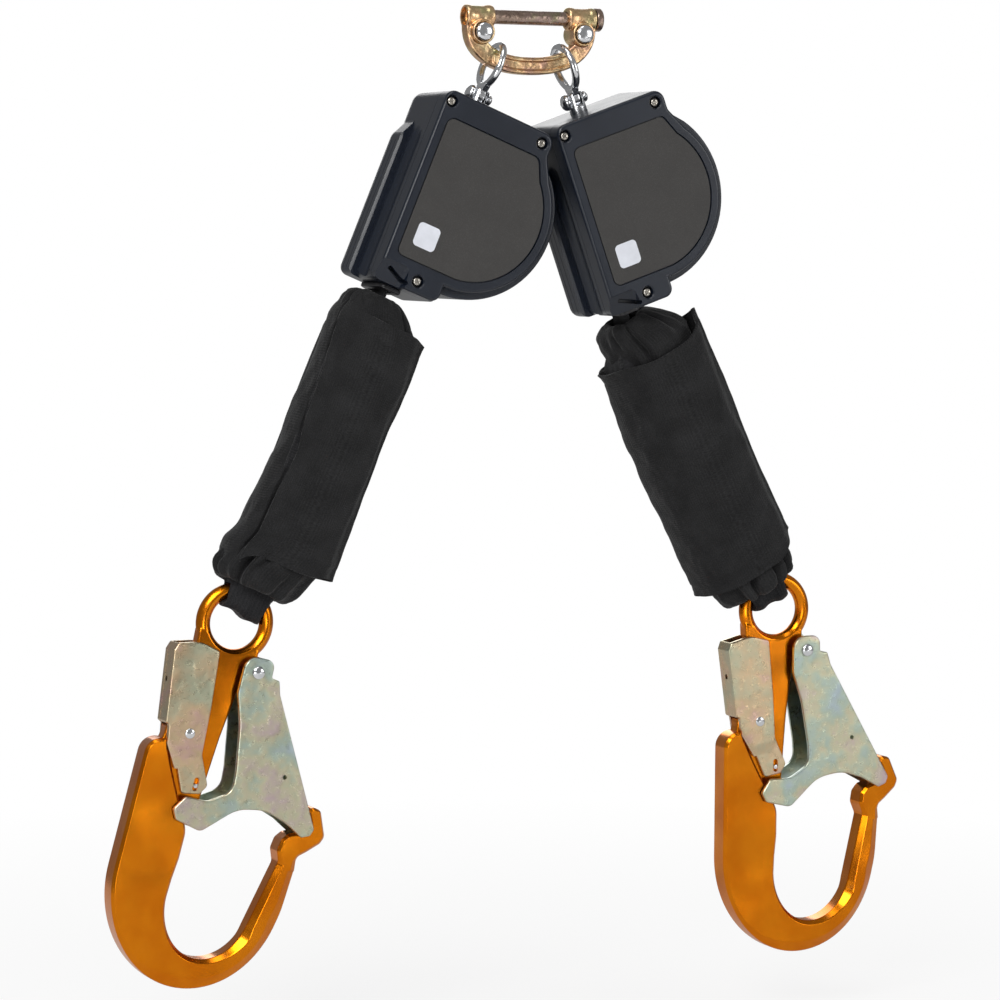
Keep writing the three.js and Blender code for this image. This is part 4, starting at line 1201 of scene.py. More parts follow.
    @staticmethod
    def named(piece: Piece, name: str) -> Piece:
        """Names a piece and its mesh.

        Args:
            piece: The piece.
            name: The name.

        Returns:
            The piece.
        """
        piece.name = name
        piece.data.name = name
        return piece


# Places of the two lifelines


@dataclass
class Hang:
    """How one lifeline hangs: its tilts in degrees from straight down."""

    side: Side
    housing: float
    absorber: float
    hook: float
    sleeve_shift: float
    across: float = 20.2
    eye_inner_radius: float = 10.5
    wire: float = 2.25
    play: float = 0.3

    def leg(self) -> Matrix:
        """Places the housing and what turns with it.

        Returns:
            The place.
        """
        yoke = Connector()
        contact = yoke.height(self.across, yoke.inner_half_width, yoke.inner_drop)
        inner = self.eye_inner_radius
        lift = inner - math.sqrt(inner**2 - (yoke.thickness / 2) ** 2) + self.play + self.wire
        tilt = math.radians(self.housing)
        x = self.side.sign * self.across + lift * math.sin(tilt)
        z = contact + lift * math.cos(tilt)
        return Matrix.Translation((x * MM, 0, z * MM)) @ Matrix.Rotation(tilt, 4, "Y")

    def pack(self) -> Matrix:
        """Places the absorber and its sleeve."""
        turn = Matrix.Rotation(math.radians(self.absorber - self.housing), 4, "Y")
        return self.leg() @ Matrix.Translation((NOZZLE_X * MM, 0, SWAY_Z * MM)) @ turn

    def hook_eye(self) -> Matrix:
        """Places the hook by its eye."""
        turn = Matrix.Rotation(math.radians(self.hook - self.absorber), 4, "Y")
        return self.pack() @ Matrix.Translation((0, 0, -ABSORBER_LENGTH * MM)) @ turn


HANGS = (
    Hang(Side.LEFT, 22.4, 25.0, 15.1, 6.5),
    Hang(Side.RIGHT, -19.8, -30.5, 0.0, 2.5),
)


def placed(piece: Piece, hang: Hang, where: Matrix, name: str) -> Piece:
    """Copies a piece to its place on one lifeline.

    Args:
        piece: The piece at the middle.
        hang: The lifeline.
        where: Its place.
        name: The piece's name, without the side.

    Returns:
        The copy.
    """
    twin = Bench.copy(piece, f"{hang.side.value}_{name}")
    twin.data.transform(where)
    return twin


def discard(*pieces: Piece) -> None:
    """Removes pieces that were only copied from."""
    for piece in pieces:
        bpy.data.objects.remove(piece, do_unlink=True)


# Swivel


@dataclass
class Swivel:
    """Eye, its rivet and the post that turns in the housing."""

    ring_radius: float = 12.75
    wire: float = 2.25
    pin_z: float = -32.5
    tang: float = 4.2
    post_radius: float = 5.2
    ring_bottom: float = -27.75

    def eye(self) -> Piece:
        """Models the forged ring, which thickens into its tang.

        Returns:
            The ring with its tang.
        """
        bpy.ops.object.select_all(action="DESELECT")
        bpy.ops.mesh.primitive_torus_add(
            major_radius=self.ring_radius * MM, minor_radius=self.wire * MM,
            major_segments=72, minor_segments=20, rotation=(0, math.pi / 2, 0),
        )
        ring = bpy.context.active_object
        bpy.ops.object.transform_apply(location=False, rotation=True, scale=False)
        ring.data.transform(Matrix.Translation((0, 0, -self.ring_radius * MM)))
        half = self.tang / 2
        outline = [
            (-4.0, self.pin_z), (-4.2, -29.5), (-6.2, -25.8), (-5.2, -24.2), (5.2, -24.2),
            (6.2, -25.8), (4.2, -29.5), (4.0, self.pin_z),
        ]
        outline += [(y, z) for y, z, _ in arc(0, self.pin_z, 4.0, 4.0, 0, -180, 12)[1:-1]]
        tang = Bench.grow("tang", [[(x, y, z) for y, z in outline] for x in (-half, half)])
        Bench.soften(tang, 0.8, 3, 40)
        Bench.merge(ring, Merge.JOIN, tang)
        Bench.cast(ring, 0.26, 6)
        Bench.merge(ring, Merge.CUT, Bench.bar("bore", 2.3, -8, 8, Axis.X, (0, 0, self.pin_z), 0, 28))
        return Bench.shade(ring, 50)

    def rivet(self) -> Piece:
        """Models the rivet through the post, with two unlike heads.

        Returns:
            The rivet.
        """
        seat = self.post_radius + 0.3
        profile = [(0, -seat - 3.8)]
        profile += [(4.9 * math.sin(t), -seat - 0.7 - 3.1 * math.cos(t)) for t in quarter(9, 1)]
        profile += [(4.7, -seat), (2.0, -seat), (2.0, seat), (3.1, seat), (3.3, seat + 0.4)]
        profile += [(3.3 * math.cos(t), seat + 0.4 + 2.2 * math.sin(t)) for t in quarter(7, 1)]
        profile[-1] = (0, seat + 2.6)
        return Bench.shade(Bench.turned("rivet", profile, Axis.X, (0, 0, self.pin_z), 40), 40)

    def post(self) -> Piece:
        """Models the slotted post.

        Returns:
            The post.
        """
        top = self.ring_bottom - 0.3
        body = Bench.turned(
            "post",
            [
                (0, -50.5), (8.0, -50.5), (8.0, -48.3), (5.2, -48.3), (5.2, top - 1.6), (5.0, top - 0.8),
                (4.4, top - 0.2), (3.8, top), (0, top),
            ],
            Axis.Z, sides=48,
        )
        slot = Bench.block("slot", (-2.4, -8, self.pin_z - 4.3), (2.4, 8, top + 3))
        Bench.merge(body, Merge.CUT, slot, Bench.bar("bore", 2.3, -8, 8, Axis.X, (0, 0, self.pin_z)))
        Bench.soften(body, 0.25, 2, 50)
        return Bench.shade(body, 35)

    def build(self) -> None:
        """Models and dresses both swivels."""
        eye, rivet, post = self.eye(), self.rivet(), self.post()
        for hang in HANGS:
            side = hang.side.value
            place = hang.leg()
            for piece, name, body, node in (
                (eye, "eye", "eye", "swivel_eye"),
                (rivet, "eye_rivet", "post", "eye_pin"),
                (post, "post", "post", "swivel_post"),
            ):
                twin = placed(piece, hang, place, name)
                WARDROBE.dress(twin, Finish.CHROME, f"{side}_{body}", [f"{side}_{node}"])
        discard(eye, rivet, post)


# Reel housing


@dataclass
class Housing:
    """Two covers, label plate, cover screws and nozzle."""

    top: float = -40.4
    bottom: float = HOUSING_FOOT
    left: float = -29.8
    screw_x: float = -25.3
    screw_z: float = -47.1
    screw_span: float = 61.3
    screw_drop: float = 103.5
    screw_step: float = 20.3
    drum_x: float = DRUM_X
    drum_z: float = DRUM_Z
    face_radius: float = 49.3
    shell_radius: float = 53.5
    face: float = -29.0
    step: float = -23.0
    parting: float = -17.0
    rear: float = 29.0
    wall: float = 2.6
    nozzle_x: float = NOZZLE_X

    def screws(self) -> list[Point]:
        """Gives the places of the cover screws.

        Returns:
            The places.
        """
        return [
            (self.screw_x, self.screw_z),
            (self.screw_x + self.screw_span, self.screw_z),
            (self.screw_x + self.screw_step, self.screw_z - self.screw_drop),
        ]

    def outline(self, radius: float, bulge: float = 0.0, thin: float = 0.0) -> list[Point]:
        """Gives a cover's outline.

        Args:
            radius: Radius round the drum.
            bulge: How far the left side moves out.
            thin: How far all of it moves in.

        Returns:
            The outline.
        """
        right = self.screw_x + self.screw_span + 6.7 - thin
        left, top, bottom = self.left - bulge + thin, self.top - thin, self.bottom + thin
        block = self.screw_z - 14 - thin
        flank = [(left, bottom, 4.6 - thin)]
        if bulge:
            flank += [(left, block - 9, 6.0), (left + bulge, block, 5.0)]
        belly = arc(self.drum_x, self.drum_z, radius - thin, radius - thin, 38.4, -90, 4)
        return rounded([
            *flank, (left + bulge, top, 6.0 - thin), (right, top, 6.7 - thin),
            (right, self.screw_z - 6.5, 6.0), *belly, (self.drum_x, bottom, 7.0 - thin),
        ])

    def label_outline(self, grow: float) -> list[Point]:
        """Gives the outline of the label plate, grown by a distance.

        Args:
            grow: The distance.

        Returns:
            The outline.
        """
        foot = self.screw_z - 93.4 - grow
        radius = 43.1 + grow
        lowest = math.degrees(math.asin((foot - self.drum_z) / radius))
        return rounded([
            (self.screw_x + 1.8 - grow, foot, 4.0 + grow),
            (self.screw_x + 1.8 - grow, self.screw_z - 8.8 + grow, 4.5 + grow),
            (self.screw_x + 62.5 + grow, self.screw_z - 8.8 + grow, 5.0),
            *arc(self.drum_x, self.drum_z, radius, radius, 42, lowest, 4),
        ])

    def shell(
        self, name: str, outline: Sequence[Point], front: float, rear: float, round_off: float
    ) -> Piece:
        """Grows a shell whose rear edge is drawn in towards the drum.

        Args:
            name: Name of the new piece.
            outline: Its outline.
            front: Depth of its front.
            rear: Depth of its rear.
            round_off: Radius of the rear edge.

        Returns:
            The shell.
        """
        rings = [flat(outline, front)]
        for k in range(9):
            turn = math.pi / 2 * k / 8
            share = 1 - 0.13 * (1 - math.cos(turn))
            y = rear - round_off + round_off * math.sin(turn)
            rings.append([
                (self.drum_x + (x - self.drum_x) * share, y, self.drum_z + (z - self.drum_z) * share)
                for x, z in outline
            ])
        return Bench.grow(name, rings)

    def front_cover(self) -> Piece:
        """Models the bezel with its ledge, its label recess and its screw wells.

        Returns:
            The cover.
        """
        rear = self.parting - 0.15
        body = Bench.plate("front_cover", self.outline(self.face_radius), self.face, rear, 2.0, 5, 0.0)
        ledge = Bench.plate("ledge", self.outline(self.shell_radius), self.step, rear, 1.3, 4, 0.35)
        Bench.merge(body, Merge.JOIN, ledge)
        room = self.outline(self.face_radius, 0, self.wall)
        Bench.merge(body, Merge.CUT, Bench.plate("hollow", room, self.face + self.wall, -10))
        low = (self.left + 1.2, self.face + self.wall - 0.4, self.bottom + 0.6)
        high = (self.left + 34.5, rear - 0.3, self.bottom + 0.6 + 14.5)
        Bench.merge(body, Merge.JOIN, Bench.block("foot", low, high))
        for x, z in self.screws():
            Bench.merge(body, Merge.JOIN, Bench.bar("boss", 4.6, self.face + 1.2, rear, Axis.Y, (x, 0, z)))
        recess = Bench.plate("recess", self.label_outline(0.6), self.face - 2, self.face + 1.3, 0, 1, 0.2)
        Bench.merge(body, Merge.CUT, recess, self.scoop(), self.notch())
        edges = [(3.55, self.face + 4), (3.55, self.face + 0.7), (4.3, self.face - 0.1), (4.5, self.face - 3)]
        for x, z in self.screws():
            well = Bench.turned("well", edges, Axis.Y, (x, 0, z), 40)
            bore = Bench.bar("bore", 1.8, self.face, -10, Axis.Y, (x, 0, z), 0, 24)
            Bench.merge(body, Merge.CUT, well, bore)
        return Bench.shade(body, 32)

    def scoop(self) -> Piece:
        """Models the sloped cut at the foot of the bezel.

        Returns:
            What is cut away.
        """
        front, foot = self.face, self.bottom
        section = [
            (front - 4, foot + 14.6), (front - 0.2, foot + 12.6), (front + 1.1, foot + 11.4),
            (front + 1.9, foot + 9.6), (front + 7.2, foot), (front + 8.6, foot - 4), (front - 4, foot - 4),
        ]
        stations = [(-4, 0.0), (15.0, 0.0), (17.2, -1.6), (18.6, -6.5)]
        return Bench.grow(
            "scoop", [[(self.left + x, y + back, z) for y, z in section] for x, back in stations]
        )

    def notch(self) -> Piece:
        """Models the dark notch that a rib leaves at the foot of the bezel.

        Returns:
            What is cut away.
        """
        front, foot = self.face, self.bottom
        outline = rounded([
            (self.left + 5.0, foot + 7.6, 0.8), (self.left + 6.4, foot + 9.6, 0.8),
            (self.left + 19.6, foot + 4.0, 0.8), (self.left + 18.6, foot + 1.8, 0.8),
        ])
        return Bench.plate("notch", outline, front - 2, front + 8.4, 0, 1, 0.3)

    def rear_cover(self) -> Piece:
        """Models the deep cover with the block and the hollow strip on its left side.

        Returns:
            The cover.
        """
        front = self.parting + 0.15
        round_off = 11
        body = self.shell("rear_cover", self.outline(self.shell_radius), front, self.rear, round_off)
        bulged = self.outline(self.shell_radius, 4.6)
        side = self.shell("side", bulged, self.rear - 23, self.rear, round_off)
        Bench.merge(body, Merge.JOIN, side)
        stations = [
            (-48, 6.0), (-56, 9.5), (-62, 12.6), (-67, 14.2), (-73, 14.9), (-110, 15.0), (-150, 15.0),
            (-170, 15.0),
        ]
        strip = Bench.turned("strip", [(r, z) for z, r in stations], Axis.Z, (self.left - 12.9, -5.2, 0), 64)
        Bench.merge(body, Merge.CUT, strip)
        for y in (11.5, 17.0):
            low = (self.left - 6, y, self.bottom - 3)
            high = (self.left - 4.25, y + 0.45, self.screw_z - 27)
            Bench.merge(body, Merge.CUT, Bench.block("line", low, high))
        inside = self.outline(self.shell_radius, 0, self.wall + 1.2)
        room = self.shell("room", inside, front - 2, self.rear - self.wall - 0.8, round_off - self.wall)
        Bench.merge(body, Merge.CUT, room)
        for x, z in self.screws():
            boss = Bench.bar("boss", 4.1, front + 0.1, front + 19, Axis.Y, (x, 0, z))
            bore = Bench.bar("bore", 1.8, front - 2, front + 16, Axis.Y, (x, 0, z), 0, 24)
            Bench.merge(body, Merge.JOIN, boss)
            Bench.merge(body, Merge.CUT, bore)
        low = (self.nozzle_x - 4.8, -14.8, self.bottom - 3)
        high = (self.nozzle_x + 4.8, 14.8, self.bottom + 7)
        collar = Bench.bar("collar", 5.5, self.top - 8, self.top + 4, Axis.Z)
        Bench.merge(body, Merge.CUT, collar, Bench.block("mouth", low, high))
        Bench.modify(body, "DECIMATE", decimate_type="DISSOLVE", angle_limit=math.radians(0.5))
        Bench.soften(body, 0.45, 3, 38)
        return Bench.shade(body, 32)

    def label(self) -> Piece:
        """Models the label plate.

        Returns:
            The plate.
        """
        front = self.face + 0.3
        body = Bench.plate("label", self.label_outline(-0.15), front, front + 0.6, 0.22, 3)
        return Bench.shade(body, 40)

    def tag(self) -> Piece:
        """Models the bare pale tag on the label plate.

        Returns:
            The tag.
        """
        front = self.face + 0.3
        middle_x, middle_z, half = -9.9, -125.0, 7.1
        corners = [
            (middle_x + x * half, middle_z + z * half, 2.6) for x, z in ((-1, -1), (1, -1), (1, 1), (-1, 1))
        ]
        tag = Bench.plate("tag", rounded(corners), front - 0.12, front - 0.005, 0.04, 2)
        return Bench.shade(tag, 50)

    def screw(self) -> Piece:
        """Models a cover screw with a cross recess, at the middle.

        Returns:
            The screw.
        """
        seat = self.face + 3.7
        top = seat - 2.7
        profile = [
            (0, top), (1.2, top), (2.0, top + 0.22), (2.5, top + 0.75), (2.7, top + 1.5), (2.7, seat),
            (1.5, seat), (1.5, seat + 16), (0.9, seat + 17), (0, seat + 17),
        ]
        body = Bench.turned("screw", profile, Axis.Y, (0, 0, 0), 40)
        for turn in (math.radians(20), math.radians(110)):
            slot = Bench.block("slot", (-1.75, top - 1, -0.32), (1.75, top + 1.1, 0.32))
            slot.data.transform(Matrix.Rotation(turn, 4, "Y"))
            Bench.merge(body, Merge.CUT, slot)
        return Bench.shade(body, 35)

    def nozzle(self) -> Piece:
        """Models the lipped nozzle that the webbing leaves through.

        Returns:
            The nozzle.
        """
        top = self.bottom - 0.3
        low = self.bottom - 3.0

        def oval(wide: float, long: float, corner: float, z: float) -> Ring:
            """Gives a rounded rectangle at a height."""
            return [(self.nozzle_x + x, y, z) for x, y in rounded_box(wide, long, corner)]

        rings = [
            oval(6.2, 16.2, 3.0, low), oval(6.8, 16.8, 3.3, low + 0.35), oval(7.0, 17.0, 3.5, low + 0.9),
            oval(7.0, 17.0, 3.5, top - 0.4), oval(6.7, 16.7, 3.3, top),
            oval(4.5, 14.5, 1.2, top), oval(4.5, 14.5, 1.2, top + 7),
        ]
        body = Bench.grow("nozzle", rings)
        slot = Bench.grow("slot", [
            oval(3.6, 13.6, 1.6, low - 2), oval(3.4, 13.4, 1.5, low), oval(2.5, 12.5, 1.0, low + 1.4),
            oval(2.5, 12.5, 1.0, top + 9),
        ])
        Bench.merge(body, Merge.CUT, slot)
        return Bench.shade(body, 40)

    def build(self) -> None:
        """Models and dresses both housings."""
        pieces = [
            (self.front_cover(), "front_cover", Finish.HOUSING_PLASTIC, "front_cover"),
            (self.rear_cover(), "rear_cover", Finish.HOUSING_PLASTIC, "rear_cover"),
            (self.label(), "label", Finish.LABEL_FILM, "label_plate"),
            (self.nozzle(), "nozzle_lip", Finish.BLACK_PLASTIC, "nozzle"),
        ]
        tag, screw = self.tag(), self.screw()
        for hang in HANGS:
            side = hang.side.value
            place = hang.leg()
            body = f"{side}_housing"
            for piece, name, finish, node in pieces:
                twin = placed(piece, hang, place, name)
                WARDROBE.dress(twin, finish, body, [f"{side}_{node}"])
            WARDROBE.dress(placed(tag, hang, place, "tag"), Finish.TAG_FILM, body)
            for number, (x, z) in enumerate(self.screws(), 1):
                spot = place @ Matrix.Translation((x * MM, 0, z * MM))
                turned = spot @ Matrix.Rotation(number * 0.7, 4, "Y")
                twin = placed(screw, hang, turned, f"screw_{number}")
                WARDROBE.dress(twin, Finish.STAINLESS, body, [f"{side}_cover_screw_{number}"])
        discard(tag, screw, *[p[0] for p in pieces])


# Lifeline webbing


@dataclass
class Webbing:
    """Wound webbing, the stretch that pays out and the absorber's folded pack."""

    width: float = 22.0
    tape: float = 1.6
    core: float = 18.3
    turns: float = 10.75
    drum_x: float = DRUM_X
    drum_z: float = DRUM_Z
    nozzle_x: float = NOZZLE_X
    bottom: float = HOUSING_FOOT
    sway_z: float = SWAY_Z
    outer: float = 35.2

    def wound(self) -> Piece:
        """Models the spiral of tape on the drum.

        Returns:
            The coil.
        """
        pitch = (self.outer - self.core - self.tape) / self.turns
        steps = 430
        rings: list[Ring] = []
        down: list[float] = []
        length = 0.0
        half = self.width / 2
        thick = self.tape * 0.86
        for k in range(steps + 1):
            angle = 2 * math.pi * self.turns * k / steps
            radius = self.core + pitch * angle / (2 * math.pi)
            spoke = Vector((math.cos(angle + 2.2), 0, math.sin(angle + 2.2)))
            ring = []
            for out, y in ((0, -half), (0, half), (thick, half), (thick, -half)):
                point = spoke * (radius + out)
                ring.append((point.x + self.drum_x, y, point.z + self.drum_z))
            rings.append(ring)
            down.append(length)
            length += radius * 2 * math.pi * self.turns / steps
        piece = Bench.grow("wound", rings)
        Bench.lay_out(piece, 4, 2 * (self.width + self.tape), down)
        return Bench.shade(piece, 40)

    def stretch(self) -> Piece:
        """Models the strap from inside the nozzle to the absorber's top.

        Returns:
            The strap.
        """
        rings: list[Ring] = []
        down: list[float] = []
        steps = 40
        section = rounded_box(0.95, 10.6, 0.7, 30)
        for k in range(steps + 1):
            z = self.bottom + 8.0 + (self.sway_z - 11.0 - self.bottom - 8.0) * k / steps
            sway = 0.35 * math.sin(k * 0.35)
            rings.append([(self.nozzle_x + x + sway * 0.3, y, z) for x, y in section])
            down.append(-z)
        piece = Bench.grow("stretch", rings)
        Bench.lay_out(piece, len(rings[0]), 46, down)
        return Bench.shade(piece, 50)

    def pack(self, shift: float) -> Piece:
        """Models the absorber's folded web, fold on fold inside its sleeve.

        Args:
            shift: How far its foot stands off.

        Returns:
            The pack.
        """
        rings: list[Ring] = []
        down: list[float] = []
        steps = 48
        for k in range(steps + 1):
            part = k / steps
            s = 12 + 146 * part
            ends = min(1.0, min(part, 1 - part) * 10)
            wide = 22 * (0.66 + 0.34 * smooth(ends))
            deep = 14 * (0.62 + 0.38 * smooth(ends))
            lean = shift * (0.4 * smooth(part * 8) + 0.6 * smooth((part - 0.1) / 0.8))
            ring = []
            for x, y in rounded_box(wide, deep, 2.2, 22):
                fold = 0.35 * math.cos(y * 2 * math.pi / 2.9)
                sunk = 0.02 * (1 + fold * 2) if abs(x) > wide - 1.0 else 0
                ring.append((x * (1 - sunk) + lean, y, -s))
            rings.append(ring)
            down.append(s)
        piece = Bench.grow("pack", rings)
        Bench.lay_out(piece, len(rings[0]), 144, down)
        return Bench.shade(piece, 40)

    def build(self) -> None:
        """Models and dresses the webbing of both lifelines."""
        wound, stretch = self.wound(), self.stretch()
        for hang in HANGS:
            side = hang.side.value
            leg = hang.leg()
            twin = placed(wound, hang, leg, "tape_coil")
            WARDROBE.dress(twin, Finish.WEBBING, f"{side}_drum_body", [f"{side}_wound_webbing"])
            twin = placed(stretch, hang, leg, "tape_stretch")
            WARDROBE.dress(twin, Finish.WEBBING, "", [f"{side}_webbing_lead"])
            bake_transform(twin)
            pack = self.pack(hang.sleeve_shift)
            twin = placed(pack, hang, hang.pack(), "tear_web")
            WARDROBE.dress(twin, Finish.WEBBING, f"{side}_absorber", [f"{side}_absorber_pack"])
            discard(pack)
        discard(wound, stretch)


# Absorber sleeve


@dataclass(frozen=True)
class Crease:
    """A deep fold along the liner: where it runs, from which distance to which, and its depth."""

    turn: float
    start: float
    end: float
    depth: float
    width: float = 0.012


@dataclass
class Sleeve:
    """Cloth liner, gathered at both ends, and the wrap closed round it.

    Leans and half widths are given near the wrap's top, at its middle and at its foot; its edges at
    the left, the middle and the flap on the right; the seam as turns at the top and the foot.
    """

    seed: float
    leans: Corner
    halves: Corner
    top: Corner
    hem: Corner
    foot: float
    end_lean: float
    seam: Point
    creases: tuple[Crease, ...]
    band: float = 0.0
    half_depth: float = 21.0
    sides: int = 240

    def read(self, values: Corner, s: float) -> float:
        """Reads a value between the wrap's top, middle and foot.

        Args:
            values: The three values.
            s: Distance down in millimetres.

        Returns:
            The value there.
        """
        if s < 100:
            return values[0] + (values[1] - values[0]) * max(0.0, (s - 20) / 80)
        return values[1] + (values[2] - values[1]) * min(1.0, (s - 100) / 62)

    def edge(self, values: Corner, across: float) -> float:
        """Reads an edge between the left, the middle and the flap.

        Args:
            values: The three values.
            across: Place across, from -1 to 1.

        Returns:
            The edge there.
        """
        if across < 0:
            return values[1] + (values[0] - values[1]) * smooth(-across) ** (1 + 1.6 * self.band)
        return values[1] + (values[2] - values[1]) * smooth(across) ** 2.2

    def lean(self, s: float) -> float:
        """Gives how far the sleeve's middle stands off its axis at a distance down.

        Args:
            s: Distance down in millimetres.

        Returns:
            The distance.
        """
        rise = smooth((s + 2) / 26)
        fall = smooth((s - self.foot + 34) / 30)
        return self.read(self.leans, s) * rise * (1 - fall) + self.end_lean * fall

    def rumple(self, turn: float, s: float, size: float, extra: float = 0.0) -> float:
        """Gives smooth noise over the cloth, from minus one to one.

        Args:
            turn: Place round, from 0 to 1.
            s: Distance down in millimetres.
            size: Size of its lumps.
            extra: A shift that makes it another noise.

        Returns:
            The noise.
        """
        angle = turn * 2 * math.pi
        x, y = math.cos(angle) * 30 / size, math.sin(angle) * 30 / size
        place = Vector((x, y, s / size + self.seed + extra))
        return noise.noise(place, noise_basis="PERLIN_ORIGINAL")

    def liner_rows(self) -> list[Corner]:
        """Gives the liner's rows: distance down, half width and half depth.

        Returns:
            The rows.
        """
        foot = self.foot
        stops = [
            (5.5, 6.4, 12.3), (2.4, 7.6, 12.7), (0.7, 10.0, 13.2), (0.8, 13.6, 14.2), (3.0, 17.6, 15.8),
            (7.5, 21.8, 17.6), (13, 25.0, 18.8), (20, 27.0, 19.2), (30, 27.0, 18.8), (46, 26.0, 18.0),
            (90, 25.5, 17.8),
            (foot - 40, 26.5, 18.2), (foot - 24, 28.0, 19.0), (foot - 12, 28.5, 19.4), (foot - 5, 27.0, 18.6),
            (foot - 1.2, 24.0, 17.0), (foot, 20.5, 14.6), (foot - 0.6, 17.8, 12.0), (foot - 3.4, 16.2, 10.0),
            (foot - 9.0, 15.2, 9.2),
        ]
        rows: list[Corner] = []
        for i in range(len(stops) - 1):
            before, low = Vector(stops[max(i - 1, 0)]), Vector(stops[i])
            high, after = Vector(stops[i + 1]), Vector(stops[min(i + 2, len(stops) - 1)])
            steps = max(2, round((high - low).length / 2.4))
            for k in range(steps):
                t = k / steps
                bend = (high - before) * 0.5 * (t - 2 * t * t + t**3)
                bend += (after - low) * 0.5 * (t**3 - t * t)
                rows.append(tuple(low + (high - low) * (3 * t * t - 2 * t**3) + bend))
        rows.append(stops[-1])
        return rows

    def liner_point(self, turn: float, row: Corner) -> Corner:
        """Gives a point of the liner's skin.

        Args:
            turn: Place round, from 0 to 1.
            row: Distance down, half width and half depth.

        Returns:
            The point.
        """
        s, wide, deep = row
        angle = turn * 2 * math.pi
        top = smooth((30 - s) / 24)
        foot = smooth((s - self.foot + 34) / 24)
        gather = 0.75 * top + foot
        inner = smooth((wide - 15) / 6)
        folds = math.cos(5 * angle + 1.7 * math.sin(s / 13 + self.seed)) * 0.9 * gather
        folds += math.cos(9 * angle - s / 11 + self.seed * 3) * 0.5 * gather
        for crease in self.creases:
            if crease.start - 8 < s < crease.end + 8:
                drift = crease.turn + 0.012 * math.sin(s / 9 + crease.turn * 40)
                away = (turn - drift + 0.5) % 1 - 0.5
                ends = smooth((s - crease.start) / 8) * smooth((crease.end - s) / 8)
                lips = self.bell(abs(away) - 2.6 * crease.width, 1.5 * crease.width)
                folds += crease.depth * ends * (0.42 * lips - self.bell(away, crease.width))
        soft = self.rumple(turn, s, 17) * 1.9 + self.rumple(turn, s, 7, 9) * 0.9 * (0.25 + gather)
        swell = (folds + soft) * (0.15 + 0.85 * inner) - 0.6
        x = self.squash(math.cos(angle), 2.25) * (wide + swell)
        y = self.squash(math.sin(angle), 2.25) * (deep + swell)
        return x + self.lean(s), y, -s + self.rumple(turn, 0, 11, 5) * 1.3 * gather

    def wrap_point(self, turn: float, part: float) -> Corner:
        """Gives a point of the wrap's skin, part of the way from its top edge to its hem.

        Args:
            turn: Place round, from 0 to 1.
            part: The part of the way.

        Returns:
            The point.
        """
        angle = turn * 2 * math.pi
        across = math.cos(angle)
        fin = smooth((across - 0.62) / 0.36)
        high = self.edge(self.top, across) + 0.9 * math.sin(angle * 3 + self.seed)
        low = self.edge(self.hem, across) + 0.8 * math.sin(angle * 2 + self.seed * 2)
        s = high + (low - high) * part
        middle = math.sin(math.pi * part)
        wide = self.read(self.halves, s) - 1.2
        deep = self.half_depth * (0.95 + 0.05 * middle)
        lip = 0.9 * self.bell(part, 0.012) + 0.9 * self.bell(1 - part, 0.012)
        stitch = -0.55 * (self.bell(part - 0.042, 0.006) + self.bell(part - 0.958, 0.006))
        soft = self.rumple(turn, s, 34) * 2.0 + self.rumple(turn, s, 13, 4) * 0.8
        soft += self.rumple(turn, s, 5, 7) * 0.22
        drag = math.sin((s + 34 * across) / 19 + self.seed) * 0.45 * middle
        seam = self.seam[0] + (self.seam[1] - self.seam[0]) * smooth(part * 1.5) + 0.004 * math.sin(s / 21)
        away = (turn - seam + 0.5) % 1 - 0.5
        flap = 1.3 * smooth(away / 0.004) * smooth((0.10 - away) / 0.09) if away > 0 else 0.0
        groove = -(1.9 + 1.6 * self.band) * self.bell(away, 0.0062)
        drawn = 0.46 * (1 - smooth((s + 2) / 24)) + 0.30 * smooth((s - self.foot + 26) / 24)
        drawn *= self.band * smooth(-across * 1.8)
        lip *= 1 - self.band * smooth(-across * 1.8)
        swell = soft + drag + lip + stitch + flap + groove
        x = self.squash(across, 2.9) * (wide + swell * (1 - 0.55 * fin)) * (1 - drawn)
        thin = 1 - 0.86 * fin
        y = self.squash(math.sin(angle), 2.7) * (deep + swell) * thin * (1 - 0.35 * drawn)
        ripple = fin * (5.4 + 1.2 * math.sin(s / 17 + self.seed * 2))
        return x + self.lean(s) * (1 - fin) + self.read(self.leans, s) * fin, y - ripple, -s

    @staticmethod
    def bell(distance: float, width: float) -> float:
        """Gives 1 at no distance, falling to nothing over a width or two."""
        return math.exp(-((distance / width) ** 2))

    @staticmethod
    def squash(value: float, power: float) -> float:
        """Squares a circle's coordinate."""
        return math.copysign(abs(value) ** (2 / power), value)

    def liner(self, name: str) -> Piece:
        """Models the liner, a tube of cloth drawn in at its ends.

        Args:
            name: Name of the new piece.

        Returns:
            The liner.
        """
        rows = self.liner_rows()
        turns = [k / self.sides for k in range(self.sides)]
        rings = [[self.liner_point(turn, row) for turn in turns] for row in rows]
        piece = Bench.grow(name, rings, opened=True)
        down = [0.0]
        for low, high in zip(rows, rows[1:]):
            down.append(down[-1] + math.hypot(high[0] - low[0], high[1] - low[1]))
        Bench.lay_out(piece, self.sides, 150, down)
        Bench.modify(piece, "SOLIDIFY", thickness=0.9 * MM, offset=-1.0)
        return Bench.shade(piece, 180)

